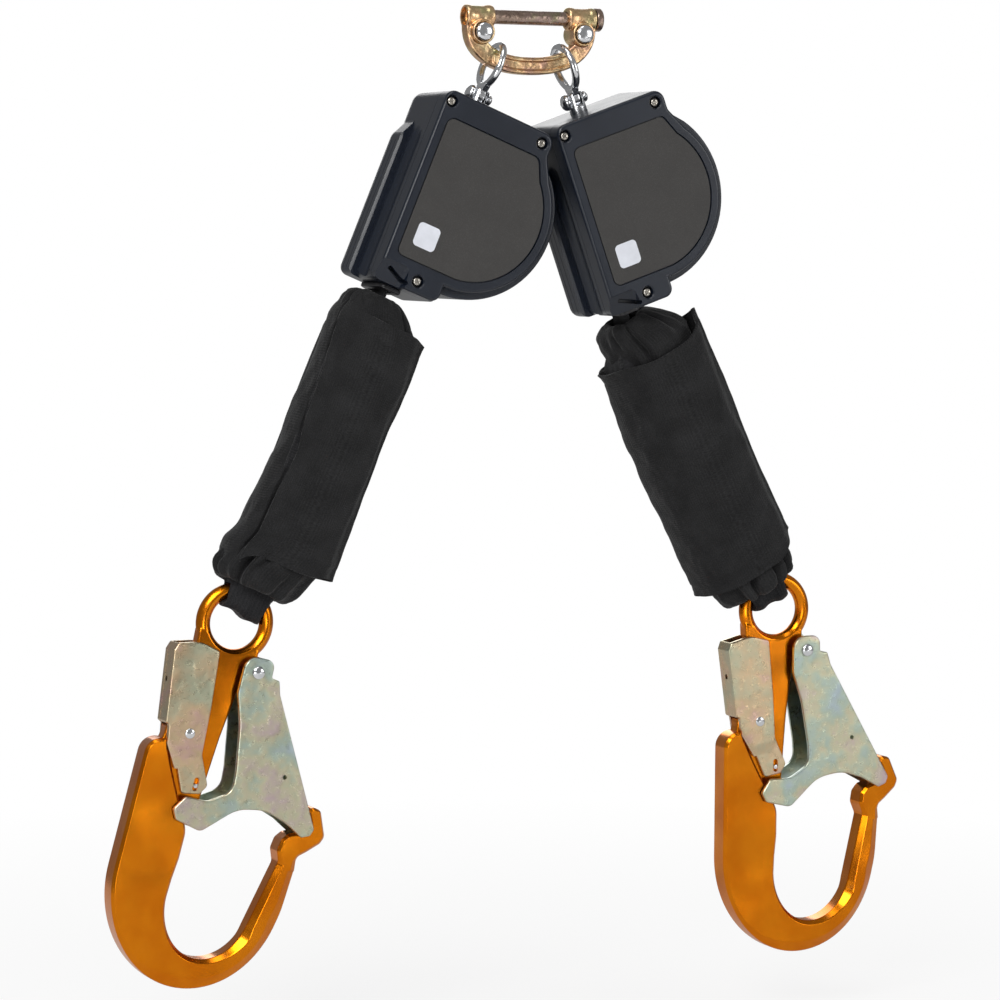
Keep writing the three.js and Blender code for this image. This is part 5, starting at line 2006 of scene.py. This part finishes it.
    def wrap(self, name: str) -> Piece:
        """Models the wrap with its rolled edges and its flap on the right.

        Args:
            name: Name of the new piece.

        Returns:
            The wrap.
        """
        rows = 110
        parts = [k / rows for k in range(rows + 1)]
        turns = [k / self.sides for k in range(self.sides)]
        rings = [[self.wrap_point(turn, part) for turn in turns] for part in parts]
        piece = Bench.grow(name, rings, opened=True)
        length = self.hem[1] - self.top[1]
        Bench.lay_out(piece, self.sides, 186, [length * part for part in parts])
        Bench.modify(piece, "SOLIDIFY", thickness=1.5 * MM, offset=-1.0, use_rim=True)
        Bench.soften(piece, 0.45, 2, 60)
        return Bench.shade(piece, 60)


SLEEVES = {
    Side.LEFT: Sleeve(
        seed=0.0, leans=(7.6, 10.2, 10.0), halves=(30.4, 30.0, 33.6), top=(2.0, 13.6, 16.0),
        hem=(180.0, 166.0, 161.5), foot=185.0, end_lean=0.0, seam=(0.552, 0.618), band=1.0,
        creases=(
            Crease(0.575, -4, 34, 3.4), Crease(0.72, -4, 20, 1.8, 0.02), Crease(0.86, -4, 26, 2.4, 0.016),
            Crease(0.20, -4, 26, 2.6), Crease(0.40, -4, 24, 2.2), Crease(0.652, 152, 196, 5.4, 0.013),
            Crease(0.705, 160, 196, 3.2, 0.011), Crease(0.80, 164, 196, 2.0, 0.016),
            Crease(0.12, 160, 196, 3.0), Crease(0.33, 160, 196, 3.4), Crease(0.54, 166, 196, 2.4),
        ),
    ),
    Side.RIGHT: Sleeve(
        seed=5.3, leans=(8.2, 0.8, -2.8), halves=(34.0, 34.2, 32.8), top=(23.0, 27.5, 18.5),
        hem=(174.0, 175.0, 166.0), foot=189.0, end_lean=-2.6, seam=(0.44, 0.44),
        creases=(
            Crease(0.70, -4, 38, 4.4), Crease(0.60, -4, 18, 2.4), Crease(0.84, -4, 22, 2.4, 0.016),
            Crease(0.22, -4, 26, 2.6), Crease(0.38, -4, 24, 2.2), Crease(0.715, 158, 200, 4.8, 0.013),
            Crease(0.785, 166, 200, 3.6, 0.012), Crease(0.64, 172, 200, 2.4),
            Crease(0.88, 160, 200, 2.8, 0.015), Crease(0.30, 164, 200, 3.2), Crease(0.10, 166, 200, 2.6),
        ),
    ),
}


@dataclass
class HookLoop:
    """Sewn loop of webbing round the bar of the hook's eye."""

    length: float = ABSORBER_LENGTH
    inner: float = 15.0
    outer: float = 23.3
    bar_half: float = 4.75
    half_width: float = 12.2
    slant: float = 1.6

    def model(self, name: str, seed: float) -> Piece:
        """Models the loop, whose folds fan out up to the sleeve.

        Args:
            name: Name of the new piece.
            seed: Shifts the waves of its folds.

        Returns:
            The loop.
        """
        half = self.bar_half + 0.5 + 3.0
        section = rounded([
            (5.2, -half + 2.4, 2.2), (8.2, -half, 2.6), (26.0, -half, 3.0), (33.0, -6.4, 3.0),
            (48.0, -6.0, 1.5), (48.0, 6.0, 1.5), (33.0, 6.4, 3.0), (26.0, half, 3.0), (8.2, half, 2.6),
            (5.2, half - 2.4, 2.2),
        ], 12)
        steps = 52
        rings: list[Ring] = []
        for k in range(steps + 1):
            share = 2 * k / steps - 1
            edge = (1 - abs(share) ** 8 * 0.45) * (1 - 0.05 * abs(share))
            ring = []
            for radius, y in section:
                rise = smooth((radius - 9) / 16)
                wave = 0.55 * math.sin(6.5 * share + seed)
                wave += 0.30 * math.sin(13 * share - seed * 2 + radius / 5)
                crease = -0.9 * math.exp(-(((share - 0.12 - radius / 160) / 0.05) ** 2))
                front = 1 if y < 0 else -1
                x = share * (self.half_width + 3.6 * rise - 1.2 * smooth((radius - 34) / 10))
                z = radius - (self.slant * share + 0.7 * math.sin(5 * share + seed)) * (1 - rise)
                ring.append((x, y * edge - (wave * 0.7 + crease) * front * 0.8, z - self.length))
            rings.append(ring)
        piece = Bench.grow(name, rings)
        places = [tuple(v.co / MM) for v in piece.data.vertices]
        layer = piece.data.uv_layers.new(name="surface")
        for face in piece.data.polygons:
            below = abs(face.normal.y) < 0.45
            for loop, vertex in zip(face.loop_indices, face.vertices):
                x, y, z = places[vertex]
                layer.data[loop].uv = (x, z + y) if below else (x, z)
        inside, outside, deep = self.inner - 0.7, self.outer + 0.6, 5.3
        cavity = Bench.turned(
            "cavity", [(inside, -deep), (outside, -deep), (outside, deep), (inside, deep)],
            Axis.Y, (0, 0, -self.length), 72, looped=True,
        )
        Bench.merge(piece, Merge.CUT, cavity)
        Bench.soften(piece, 0.4, 2, 55)
        return Bench.shade(piece, 50)


@dataclass
class Absorbers:
    """The sleeves and hook loops of both lifelines."""

    loop: HookLoop = field(default_factory=HookLoop)

    def build(self) -> None:
        """Models and dresses the sleeves and loops."""
        for hang in HANGS:
            side = hang.side.value
            sleeve = SLEEVES[hang.side]
            body = f"{side}_absorber"
            liner = sleeve.liner(f"{side}_liner")
            liner.data.transform(hang.pack())
            WARDROBE.dress(liner, Finish.SLEEVE_CLOTH, body, [f"{side}_absorber_sleeve"])
            wrap = sleeve.wrap(f"{side}_wrap")
            wrap.data.transform(hang.pack())
            WARDROBE.dress(wrap, Finish.SLEEVE_CLOTH, body, [f"{side}_absorber_sleeve"])
            loop = self.loop.model(f"{side}_loop", sleeve.seed)
            loop.data.transform(hang.pack())
            WARDROBE.dress(loop, Finish.WEBBING, body, [f"{side}_hook_loop"])


# Hook


@dataclass
class Hook:
    """Forged hook with its gate, lever, rivets and springs, laid out from its eye."""

    width: float = 121.0
    reach: float = 210.5
    half: float = 8.0
    neck_half: float = 4.75
    gate_rivet: Point = (17.545, -24.313)
    lever_rivet: Point = (-12.342, -67.15)

    def corners(self, shares: Sequence[Corner]) -> list[Corner]:
        """Turns shares of width and reach into corners in millimetres."""
        return [(x * self.width, z * self.reach, r * self.width) for x, z, r in shares]

    def outline(self) -> tuple[list[Point], int]:
        """Gives the outline of spine, bowl and nose, and where its inner side starts.

        Returns:
            The points and the number of the first inner one.
        """
        left = [
            (-9.0, -104.0, 6.0), (-13.6, -95.5, 8.0), (-17.4, -88.0, 8.0), (-22.0, -78.5, 8.0),
            (-25.6, -73.0, 0.0),
        ]
        left += arc(-25.6, -83.0, 10.0, 10.0, 96, 180, 8)
        nose = self.corners([
            (0.592, -0.622, 0.03), (0.583, -0.582, 0.03), (0.624, -0.563, 0.03), (0.682, -0.532, 0.035),
            (0.697, -0.511, 0.035), (0.645, -0.443, 0.030), (0.603, -0.438, 0.024), (0.579, -0.454, 0.010),
            (0.61, -0.49, 0.02), (0.564, -0.512, 0.03), (0.512, -0.524, 0.04), (0.484, -0.544, 0.04),
            (0.476, -0.575, 0.04), (0.498, -0.606, 0.04),
        ])
        bowl = arc(17.0, -150.0, 52.6, 60.5, 180, 270, 3) + arc(17.0, -150.0, 53.7, 60.5, 273, 360, 3)
        hole = arc(25.0, -160.0, 27.0, 31.6, -14, -90, 3) + arc(25.0, -160.0, 26.0, 31.6, -93, -180, 3)
        rise = [(-0.6, -150.0, 0.0), (0.6, -138.0, 30.0), (0.6, -122.0, 14.0), (-4.0, -112.0, 10.0)]
        points = rounded(left + bowl + nose + hole + rise, 8)
        tip = max(range(len(points)), key=lambda i: points[i][0] + points[i][1])
        return points, tip

    def flank(self, x: float, z: float, inner: bool) -> Point:
        """Gives how wide and how deep the sloped edge is at a place on the outline.

        Args:
            x: Place across.
            z: Height.
            inner: Whether it is the inner side.

        Returns:
            Width and depth.
        """
        turn = (math.degrees(math.atan2(z + 155, x - 20)) + 360) % 360
        along = turn - 180 if turn >= 90 else turn + 180
        if inner:
            wide = 1.7 + 1.0 * smooth((along - 50) / 40) + 3.9 * smooth((along - 110) / 60)
            deep = 1.9 + 1.0 * smooth((along - 50) / 40) + 2.2 * smooth((along - 110) / 60)
        else:
            wide = 1.9 + 5.6 * smooth((along - 38) / 50) + 3.2 * smooth((along - 100) / 70)
            deep = 2.0 + 2.4 * smooth((along - 38) / 50) + 1.4 * smooth((along - 100) / 70)
        nose = smooth((z + 152) / 26) * smooth((x - 45) / 8)
        return wide + (1.8 - wide) * nose, deep + (2.2 - deep) * nose

    @staticmethod
    def settled(outline: list[Point], inward: list[Point], widths: list[float]) -> list[float]:
        """Narrows the sloped edge where it would run into another edge.

        Args:
            outline: The outline's points.
            inward: The same points moved in by one millimetre.
            widths: The wanted widths.

        Returns:
            The widths that fit.
        """
        spots = [Vector(point) for point in outline]
        sides = [(spots[i - 1], spots[i]) for i in range(len(spots))]
        fitted: list[float] = []
        for spot, inner, wide in zip(spots, inward, widths):
            normal = Vector(inner) - spot
            for _ in range(14):
                place = spot + normal * wide
                near = 1e9
                for start, end in sides:
                    along = end - start
                    share = max(0.0, min(1.0, (place - start).dot(along) / max(along.length_squared, 1e-9)))
                    near = min(near, (place - start - along * share).length)
                if near > 0.9 * wide * normal.length:
                    break
                wide *= 0.84
            fitted.append(wide)
        return fitted

    def forging(self) -> Piece:
        """Models spine, bowl and nose, whose edges slope more from the spine round to the nose.

        Returns:
            The forging.
        """
        outline, inner_start = self.outline()
        inward = inset(outline, 1.0)
        slopes: list[Point] = []
        for i, (x, z) in enumerate(outline):
            inner = i >= inner_start
            others = outline[:inner_start] if inner else outline[inner_start:]
            room = min(math.hypot(x - u, z - w) for u, w in others)
            wide, deep = self.flank(x, z, inner)
            slopes.append((min(wide, max(0.42 * room, 1.2)), deep))
        count = len(slopes)
        eased = [
            tuple(sum(slopes[(i + k) % count][part] for k in range(-4, 5)) / 9 for part in (0, 1))
            for i in range(count)
        ]
        widths = self.settled(outline, inward, [wide for wide, _ in eased])
        eased = [(wide, deep) for wide, (_, deep) in zip(widths, eased)]
        shares = [
            (1.0, 0.0), (0.93, 0.02), (0.85, 0.08), (0.76, 0.17), (0.20, 0.74), (0.09, 0.86), (0.03, 0.94),
            (0.0, 1.06),
        ]
        rings: list[Ring] = []
        for side in (-1, 1):
            for across, down in shares if side < 0 else shares[::-1]:
                ring = []
                for (x, z), (u, w), (wide, deep) in zip(outline, inward, eased):
                    y = side * (self.half - deep * down)
                    ring.append((x + (u - x) * wide * across, y, z + (w - z) * wide * across))
                rings.append(ring)
        return Bench.grow("hook_body", rings)

    def neck(self) -> Piece:
        """Models the neck with its eye and the lug of the gate's rivet.

        Returns:
            The neck.
        """
        outline = self.corners([
            (0.145, -0.057, 0), (0.145, -0.086, 0.017), (0.102, -0.1, 0.025), (0.086, -0.19, 0.165),
            (0.06, -0.314, 0.165), (0.045, -0.437, 0.165), (0.03, -0.551, 0), (-0.132, -0.551, 0),
            (-0.24, -0.399, 0), (-0.215, -0.333, 0), (-0.215, -0.316, 0.017), (-0.165, -0.276, 0.025),
            (-0.165, -0.114, 0.025), (-0.174, -0.038, 0),
        ])
        neck = Bench.plate("neck", rounded(outline), -self.neck_half, self.neck_half, 1.3, 3)
        x, z = self.gate_rivet
        lug = Bench.bar("lug", 6.6, -self.neck_half, self.neck_half, Axis.Y, (x, 0, z), 0.8)
        Bench.merge(neck, Merge.JOIN, lug)
        Bench.merge(neck, Merge.CUT, Bench.bar("hole", 17.6, -9, 9, Axis.Y, (0, 0, 0), 0, 72))
        middle, bar_half = 19.15, 4.15
        profile: list[Point] = []
        for k in range(20):
            turn = 2 * math.pi * k / 20
            flatter = 1 - 0.12 * math.sin(2 * turn) ** 2
            profile.append((middle + bar_half * math.cos(turn), self.neck_half * math.sin(turn) * flatter))
        eye = Bench.turned("eye", profile, Axis.Y, (0, 0, 0), 96, looped=True)
        Bench.merge(neck, Merge.JOIN, eye)
        return Bench.cast(neck, 0.5, 4)

    def body(self) -> Piece:
        """Models the whole forging with its two bores.

        Returns:
            The body.
        """
        forging = Bench.merge(self.forging(), Merge.JOIN, self.neck())
        gate_bore, lever_bore = self.bore(self.gate_rivet, 2.9), self.bore(self.lever_rivet, 2.4)
        Bench.merge(forging, Merge.CUT, gate_bore, lever_bore)
        return Bench.shade(forging, 42)

    @staticmethod
    def bore(place: Point, radius: float, sides: int = 28) -> Piece:
        """Models what a bore through the hook takes away."""
        return Bench.bar("bore", radius, -16, 16, Axis.Y, (place[0], 0, place[1]), 0, sides)

    def gate(self) -> Piece:
        """Models the gate with its pressed panel.

        Returns:
            The gate.
        """
        outline = rounded(self.corners([
            (0.071, -0.181, 0.083), (0.071, -0.074, 0.069), (0.217, -0.074, 0.069), (0.22, -0.121, 0.01),
            (0.261, -0.124, 0.013), (0.281, -0.16, 0.033), (0.62, -0.496, 0.025), (0.607, -0.516, 0.017),
            (0.565, -0.526, 0.017), (0.467, -0.496, 0.066), (0.355, -0.475, 0.198), (0.215, -0.489, 0.182),
            (0.062, -0.57, 0.041), (-0.074, -0.553, 0.021), (-0.099, -0.525, 0.017), (-0.053, -0.486, 0.025),
            (0.058, -0.486, 0.074), (0.167, -0.447, 0.074), (0.16, -0.39, 0.165), (0.121, -0.266, 0.248),
        ]), 7)
        room = [(x, z) for x, z, _ in self.corners([
            (0.238, -0.125, 0), (0.262, -0.168, 0), (0.586, -0.494, 0), (0.60, -0.62, 0), (-0.3, -0.7, 0),
            (-0.3, 0.05, 0), (0.238, 0.05, 0),
        ])]
        inside, outside = 9.0, 11.5
        body = Bench.plate("gate", outline, -outside, outside, 1.1, 4)
        Bench.merge(body, Merge.CUT, Bench.plate("room", room, -inside, inside))
        panel = rounded([
            (44.0, -16.0, 0), (29.0, -25.0, 6), (20.2, -31.5, 5), (19.0, -38.5, 8), (32.0, -60.0, 10),
            (33.6, -67.5, 5), (10.0, -86.5, 0), (-30.0, -86.5, 0), (-30.0, -140.0, 0), (110.0, -140.0, 0),
            (110.0, -60.0, 0),
        ], 6)
        rise = [
            (0.0, 11.3), (0.0, 11.52), (1.0, 11.62), (2.2, 11.95), (3.4, 12.26), (4.5, 12.40), (5.2, 12.45),
        ]
        for side in (-1, 1):
            raised = Bench.grow("panel", [flat(inset(panel, across), side * y) for across, y in rise])
            front, rear = sorted((side * 10.5, side * 12.46))
            near, far = (1.1, 0.0) if side < 0 else (0.0, 1.1)
            frame_plate = Bench.plate("bounds", outline, front, rear, near, 4, far)
            Bench.merge(body, Merge.JOIN, Bench.merge(raised, Merge.KEEP, frame_plate))
        small_hole = self.bore((0.405 * self.width, -0.375 * self.reach), 1.3, 24)
        Bench.merge(body, Merge.CUT, self.bore(self.gate_rivet, 2.9), small_hole)
        return Bench.shade(body, 38)

    def lever(self) -> Piece:
        """Models the lock lever, stepped in to its lower tab.

        Returns:
            The lever.
        """
        upper = [
            (-0.281, -0.111, 0.012), (-0.268, -0.089, 0.017), (-0.157, -0.071, 0.116),
            (-0.055, -0.085, 0.017), (-0.028, -0.238, 0.331),
        ]
        outline = rounded(self.corners([
            *upper, (-0.013, -0.366, 0.083), (0.053, -0.447, 0.025), (0.023, -0.473, 0.017),
            (-0.066, -0.483, 0.021), (-0.117, -0.418, 0.083), (-0.202, -0.356, 0.066),
            (-0.215, -0.307, 0.017), (-0.233, -0.305, 0.014),
        ]), 7)
        room = [(x, z) for x, z, _ in self.corners([
            (-0.262, 0.0, 0), (-0.264, -0.112, 0), (-0.2165, -0.306, 0), (-0.36, -0.3075, 0),
            (-0.36, -0.6, 0), (0.2, -0.6, 0), (0.2, 0.0, 0),
        ])]
        body = Bench.plate("lever", outline, -7.0, 7.0, 0.9, 4)
        cheek = rounded(self.corners([
            *upper, (-0.013, -0.366, 0.0), (-0.02, -0.376, 0.0), (-0.13, -0.388, 0.0), (-0.202, -0.345, 0.02),
            (-0.215, -0.307, 0.017), (-0.233, -0.305, 0.014),
        ]), 7)
        steps = [(3.0, 6.7, 0.0), (7.0, 6.7, 0.0), (7.35, 4.6, 0.12), (7.75, 1.7, 0.5), (8.05, 0.0, 1.0)]
        for side in (-1, 1):
            rings = [
                flat([(x, z - low * smooth((-z - 70) / 8)) for x, z in inset(cheek, drop - 0.04)], side * y)
                for y, low, drop in steps
            ]
            Bench.merge(body, Merge.JOIN, Bench.grow("cheek", rings))
        Bench.merge(body, Merge.CUT, Bench.plate("room", room, -5.2, 5.2))
        slot_x, slot_z = -0.008 * self.width, -0.449 * self.reach
        slot = rounded([
            (slot_x - 1.5, slot_z - 4, 1.5), (slot_x + 1.5, slot_z - 4, 1.5),
            (slot_x + 1.5, slot_z + 4, 1.5), (slot_x - 1.5, slot_z + 4, 1.5),
        ])
        Bench.merge(
            body, Merge.CUT, self.bore(self.lever_rivet, 2.4), Bench.plate("slot", slot, -16, 16),
            Bench.bar("hole", 1.6, -60, 0, Axis.X, (-0.2, 0, -0.19 * self.reach), 0, 24),
        )
        return Bench.shade(body, 38)

    @staticmethod
    def rivet(name: str, place: Point, radius: float, head: float, dome: float, cheek: float) -> Piece:
        """Models a rivet through two cheeks.

        Args:
            name: Name of the new piece.
            place: Its place.
            radius: Its radius.
            head: Radius of its heads.
            dome: Height of its heads.
            cheek: Half the distance between the cheeks.

        Returns:
            The rivet.
        """
        seat = cheek + 0.3
        turns = quarter(7)
        profile = [(head * math.sin(t), -seat - dome * math.cos(t)) for t in turns]
        profile += [(radius, -seat), (radius, seat)]
        profile += [(head * math.cos(t), seat + dome * math.sin(t)) for t in turns]
        return Bench.shade(Bench.turned(name, profile, Axis.Y, (place[0], 0, place[1]), 40), 40)

    def gate_spring(self) -> Piece:
        """Models the coiled spring on the gate's rivet.

        Returns:
            The spring.
        """
        x, z = self.gate_rivet
        rings: list[Ring] = []
        steps, coils, wire = 100, 3.2, 0.36
        for k in range(steps + 1):
            angle = 2 * math.pi * coils * k / steps
            y = 5.6 + 2.6 * k / steps
            spoke = Vector((math.cos(angle), 0, math.sin(angle)))
            ring = []
            for j in range(8):
                turn = 2 * math.pi * j / 8
                point = spoke * (4.55 + wire * math.cos(turn))
                ring.append((x + point.x, y + wire * math.sin(turn), z + point.z))
            rings.append(ring)
        return Bench.shade(Bench.grow("coil", rings), 60)

    def leaf(self) -> Piece:
        """Models the leaf that pushes the lever.

        Returns:
            The leaf.
        """
        path = self.corners([
            (-0.171, -0.27, 0), (-0.178, -0.22, 0), (-0.205, -0.18, 0), (-0.245, -0.15, 0),
        ])
        dense: list[Point] = []
        for (x0, z0, _), (x1, z1, _) in zip(path, path[1:]):
            dense += [(x0 + (x1 - x0) * t, z0 + (z1 - z0) * t) for t in (0, 0.25, 0.5, 0.75)]
        dense.append(path[-1][:2])
        outline = [(x - 0.4, z) for x, z in dense] + [(x + 0.4, z) for x, z in dense[::-1]]
        return Bench.shade(Bench.plate("leaf", outline, -3, 3), 40)

    def build(self) -> None:
        """Models and dresses both hooks."""
        gate_pin = self.rivet("gate_pin", self.gate_rivet, 2.6, 3.9, 1.9, 11.5)
        lever_pin = self.rivet("lever_pin", self.lever_rivet, 2.1, 3.0, 0.85, 7.8)
        pieces = [
            (self.body(), "hook_forging", Finish.HOOK_ANODISED, "hook", "hook_body"),
            (self.gate(), "hook_gate", Finish.GATE_PLATING, "gate_body", "gate"),
            (self.lever(), "hook_lever", Finish.LEVER_PLATING, "lever_body", "lock_lever"),
            (gate_pin, "gate_pin", Finish.CHROME, "hook", "gate_rivet"),
            (lever_pin, "lever_pin", Finish.CHROME, "hook", "lever_rivet"),
            (self.gate_spring(), "gate_coil", Finish.SPRING_STEEL, "hook", "gate_spring"),
            (self.leaf(), "lever_leaf", Finish.SPRING_STEEL, "hook", "lever_spring"),
        ]
        tab = Bench.shade(Bench.bar("tab_pin", 1.35, -7.4, 7.4, Axis.Y, (-1.0, 0, -95.5), 0.4, 24), 40)
        for hang in HANGS:
            side = hang.side.value
            eye = hang.hook_eye()
            for piece, name, finish, body, node in pieces:
                twin = placed(piece, hang, eye, name)
                WARDROBE.dress(twin, finish, f"{side}_{body}", [f"{side}_{node}"])
            twin = placed(tab, hang, eye, "tab_pin")
            WARDROBE.dress(twin, Finish.CHROME, f"{side}_lever_body")
        discard(tab, *[p[0] for p in pieces])


# Inner works, studio and camera


class InnerWorks:
    """Frame nodes inside the housings, which keep their shape."""

    finishes = {
        "frame": Finish.INNER_STEEL,
        "reel_shaft": Finish.INNER_STEEL,
        "ratchet_ring": Finish.INNER_STEEL,
        "drum": Finish.INNER_STEEL,
        "pawl": Finish.INNER_STEEL,
        "power_spring": Finish.SPRING_STEEL,
    }

    def build(self) -> None:
        """Gives each inner node its material."""
        for side in Side:
            for node, finish in self.finishes.items():
                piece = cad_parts[f"{side.value}_{node}"]
                for slot in piece.material_slots:
                    slot.material = WARDROBE.get(finish)
                log.info("%s: %s", piece.name, finish.value.name)


@dataclass
class Studio:
    """Pale floor, soft lamps and the camera, whose place and view were fitted to the photograph."""

    floor_below: float = 0.600
    plain: float = 0.20
    gloss: float = 0.27
    sensor: float = 36.0
    focal_pixels: float = 3880.34
    picture_pixels: float = 1000.0
    eye: Corner = (-0.92437, -2.08880, -0.12306)
    view: Corner = (0.39778, 0.91483, -0.06976)
    roll: float = 0.44

    def lamp(self, name: str, where: Corner, aim: Corner, size: float, power: float) -> None:
        """Adds a soft lamp.

        Args:
            name: The lamp's name.
            where: Its place in metres.
            aim: What it points at.
            size: Its width in metres.
            power: Its power in watts.
        """
        data = bpy.data.lights.new(name, "AREA")
        data.shape = "SQUARE"
        data.size = size
        data.energy = power
        lamp = bpy.data.objects.new(name, data)
        bpy.context.scene.collection.objects.link(lamp)
        lamp.location = where
        lamp.rotation_euler = (Vector(aim) - Vector(where)).to_track_quat("-Z", "Y").to_euler()

    def floor(self) -> None:
        """Lays the floor, which fades to white away from the object's shadow."""
        bpy.ops.object.select_all(action="DESELECT")
        bpy.ops.mesh.primitive_plane_add(size=2.8, location=(0, 0, -self.floor_below))
        floor = bpy.context.active_object
        floor.name = "floor"
        s = Shader("floor_white")
        here = s.add("ShaderNodeTexCoord", output="Object")
        away = s.add("ShaderNodeVectorMath", {"operation": "LENGTH"}, {0: here}, output="Value")
        matte = s.add("ShaderNodeBsdfDiffuse", {}, {"Color": (0.86, 0.86, 0.86, 1)})
        glow = s.add("ShaderNodeEmission", {}, {"Color": (1, 1, 1, 1), "Strength": 1.0})
        seen = s.add("ShaderNodeLightPath", output="Is Camera Ray")
        share = seen * s.span(away, 0.05, 0.95, 0.80, 1.0)
        mixed = s.add("ShaderNodeMixShader", {}, {0: share, 1: matte, 2: glow})
        s.add_output(mixed)
        floor.data.materials.append(s.material)

    def world(self) -> None:
        """Fills the world with plain light and a white backdrop."""
        world = bpy.data.worlds.new("studio")
        bpy.context.scene.world = world
        world.use_nodes = True
        tree = world.node_tree
        tree.nodes.clear()
        s = Shader.over(tree)
        lights = [
            s.add("ShaderNodeBackground", {}, {"Color": (1, 1, 1, 1), "Strength": strength})
            for strength in (self.plain, self.gloss, 1.0)
        ]
        seen = {
            name: s.add("ShaderNodeLightPath", output=f"Is {name} Ray")
            for name in ("Glossy", "Camera", "Transmission")
        }
        first = s.add("ShaderNodeMixShader", {}, {0: seen["Glossy"], 1: lights[0], 2: lights[1]})
        shown = s.add(
            "ShaderNodeMath", {"operation": "MAXIMUM"}, {0: seen["Camera"], 1: seen["Transmission"]}
        )
        second = s.add("ShaderNodeMixShader", {}, {0: shown, 1: first, 2: lights[2]})
        s.add("ShaderNodeOutputWorld", {}, {"Surface": second}, output=None)

    def camera(self) -> None:
        """Sets the camera as the photograph was taken."""
        data = bpy.data.cameras.new("camera")
        data.sensor_width = self.sensor
        data.lens = self.focal_pixels * self.sensor / self.picture_pixels
        data.clip_start = 0.05
        data.clip_end = 60
        camera = bpy.data.objects.new("camera", data)
        bpy.context.scene.collection.objects.link(camera)
        forward = Vector(self.view).normalized()
        right = forward.cross(Vector((0, 0, 1))).normalized()
        up = right.cross(forward)
        roll = math.radians(self.roll)
        across = right * math.cos(roll) + up * math.sin(roll)
        over = up * math.cos(roll) - right * math.sin(roll)
        turn = Matrix((across, over, -forward)).transposed()
        camera.matrix_world = Matrix.Translation(self.eye) @ turn.to_4x4()
        bpy.context.scene.camera = camera

    def build(self) -> None:
        """Sets the whole studio."""
        bpy.context.scene.view_settings.view_transform = "Standard"
        self.camera()
        self.floor()
        self.world()
        aim = (-0.02, 0.0, -0.28)
        self.lamp("key", (-1.25, -1.35, 1.05), aim, 0.95, 27)
        self.lamp("fill", (1.35, -1.30, 0.15), aim, 0.9, 8)
        self.lamp("front", (0.85, -1.90, -0.56), (0, 0, -0.40), 0.60, 0.22)
        self.lamp("spot_left", (0.76, -1.90, -0.60), (-0.2, 0, -0.42), 0.16, 0.34)
        self.lamp("spot_right", (1.14, -1.90, -0.55), (0.2, 0, -0.40), 0.16, 0.26)
        self.lamp("top", (-0.2, -0.5, 1.6), aim, 0.8, 6)
        self.lamp("rim", (0.5, 1.5, 0.3), aim, 0.9, 6)
        self.lamp("low", (-0.9, -1.2, -0.45), aim, 0.5, 4)


def main() -> None:
    """Builds the studio and every sub-assembly in order."""
    logging.basicConfig(level=logging.INFO, format="%(message)s")
    Studio().build()
    Connector().build()
    Swivel().build()
    Housing().build()
    Webbing().build()
    Absorbers().build()
    Hook().build()
    InnerWorks().build()
    bpy.context.view_layer.update()


if __name__ == "__main__":
    main()
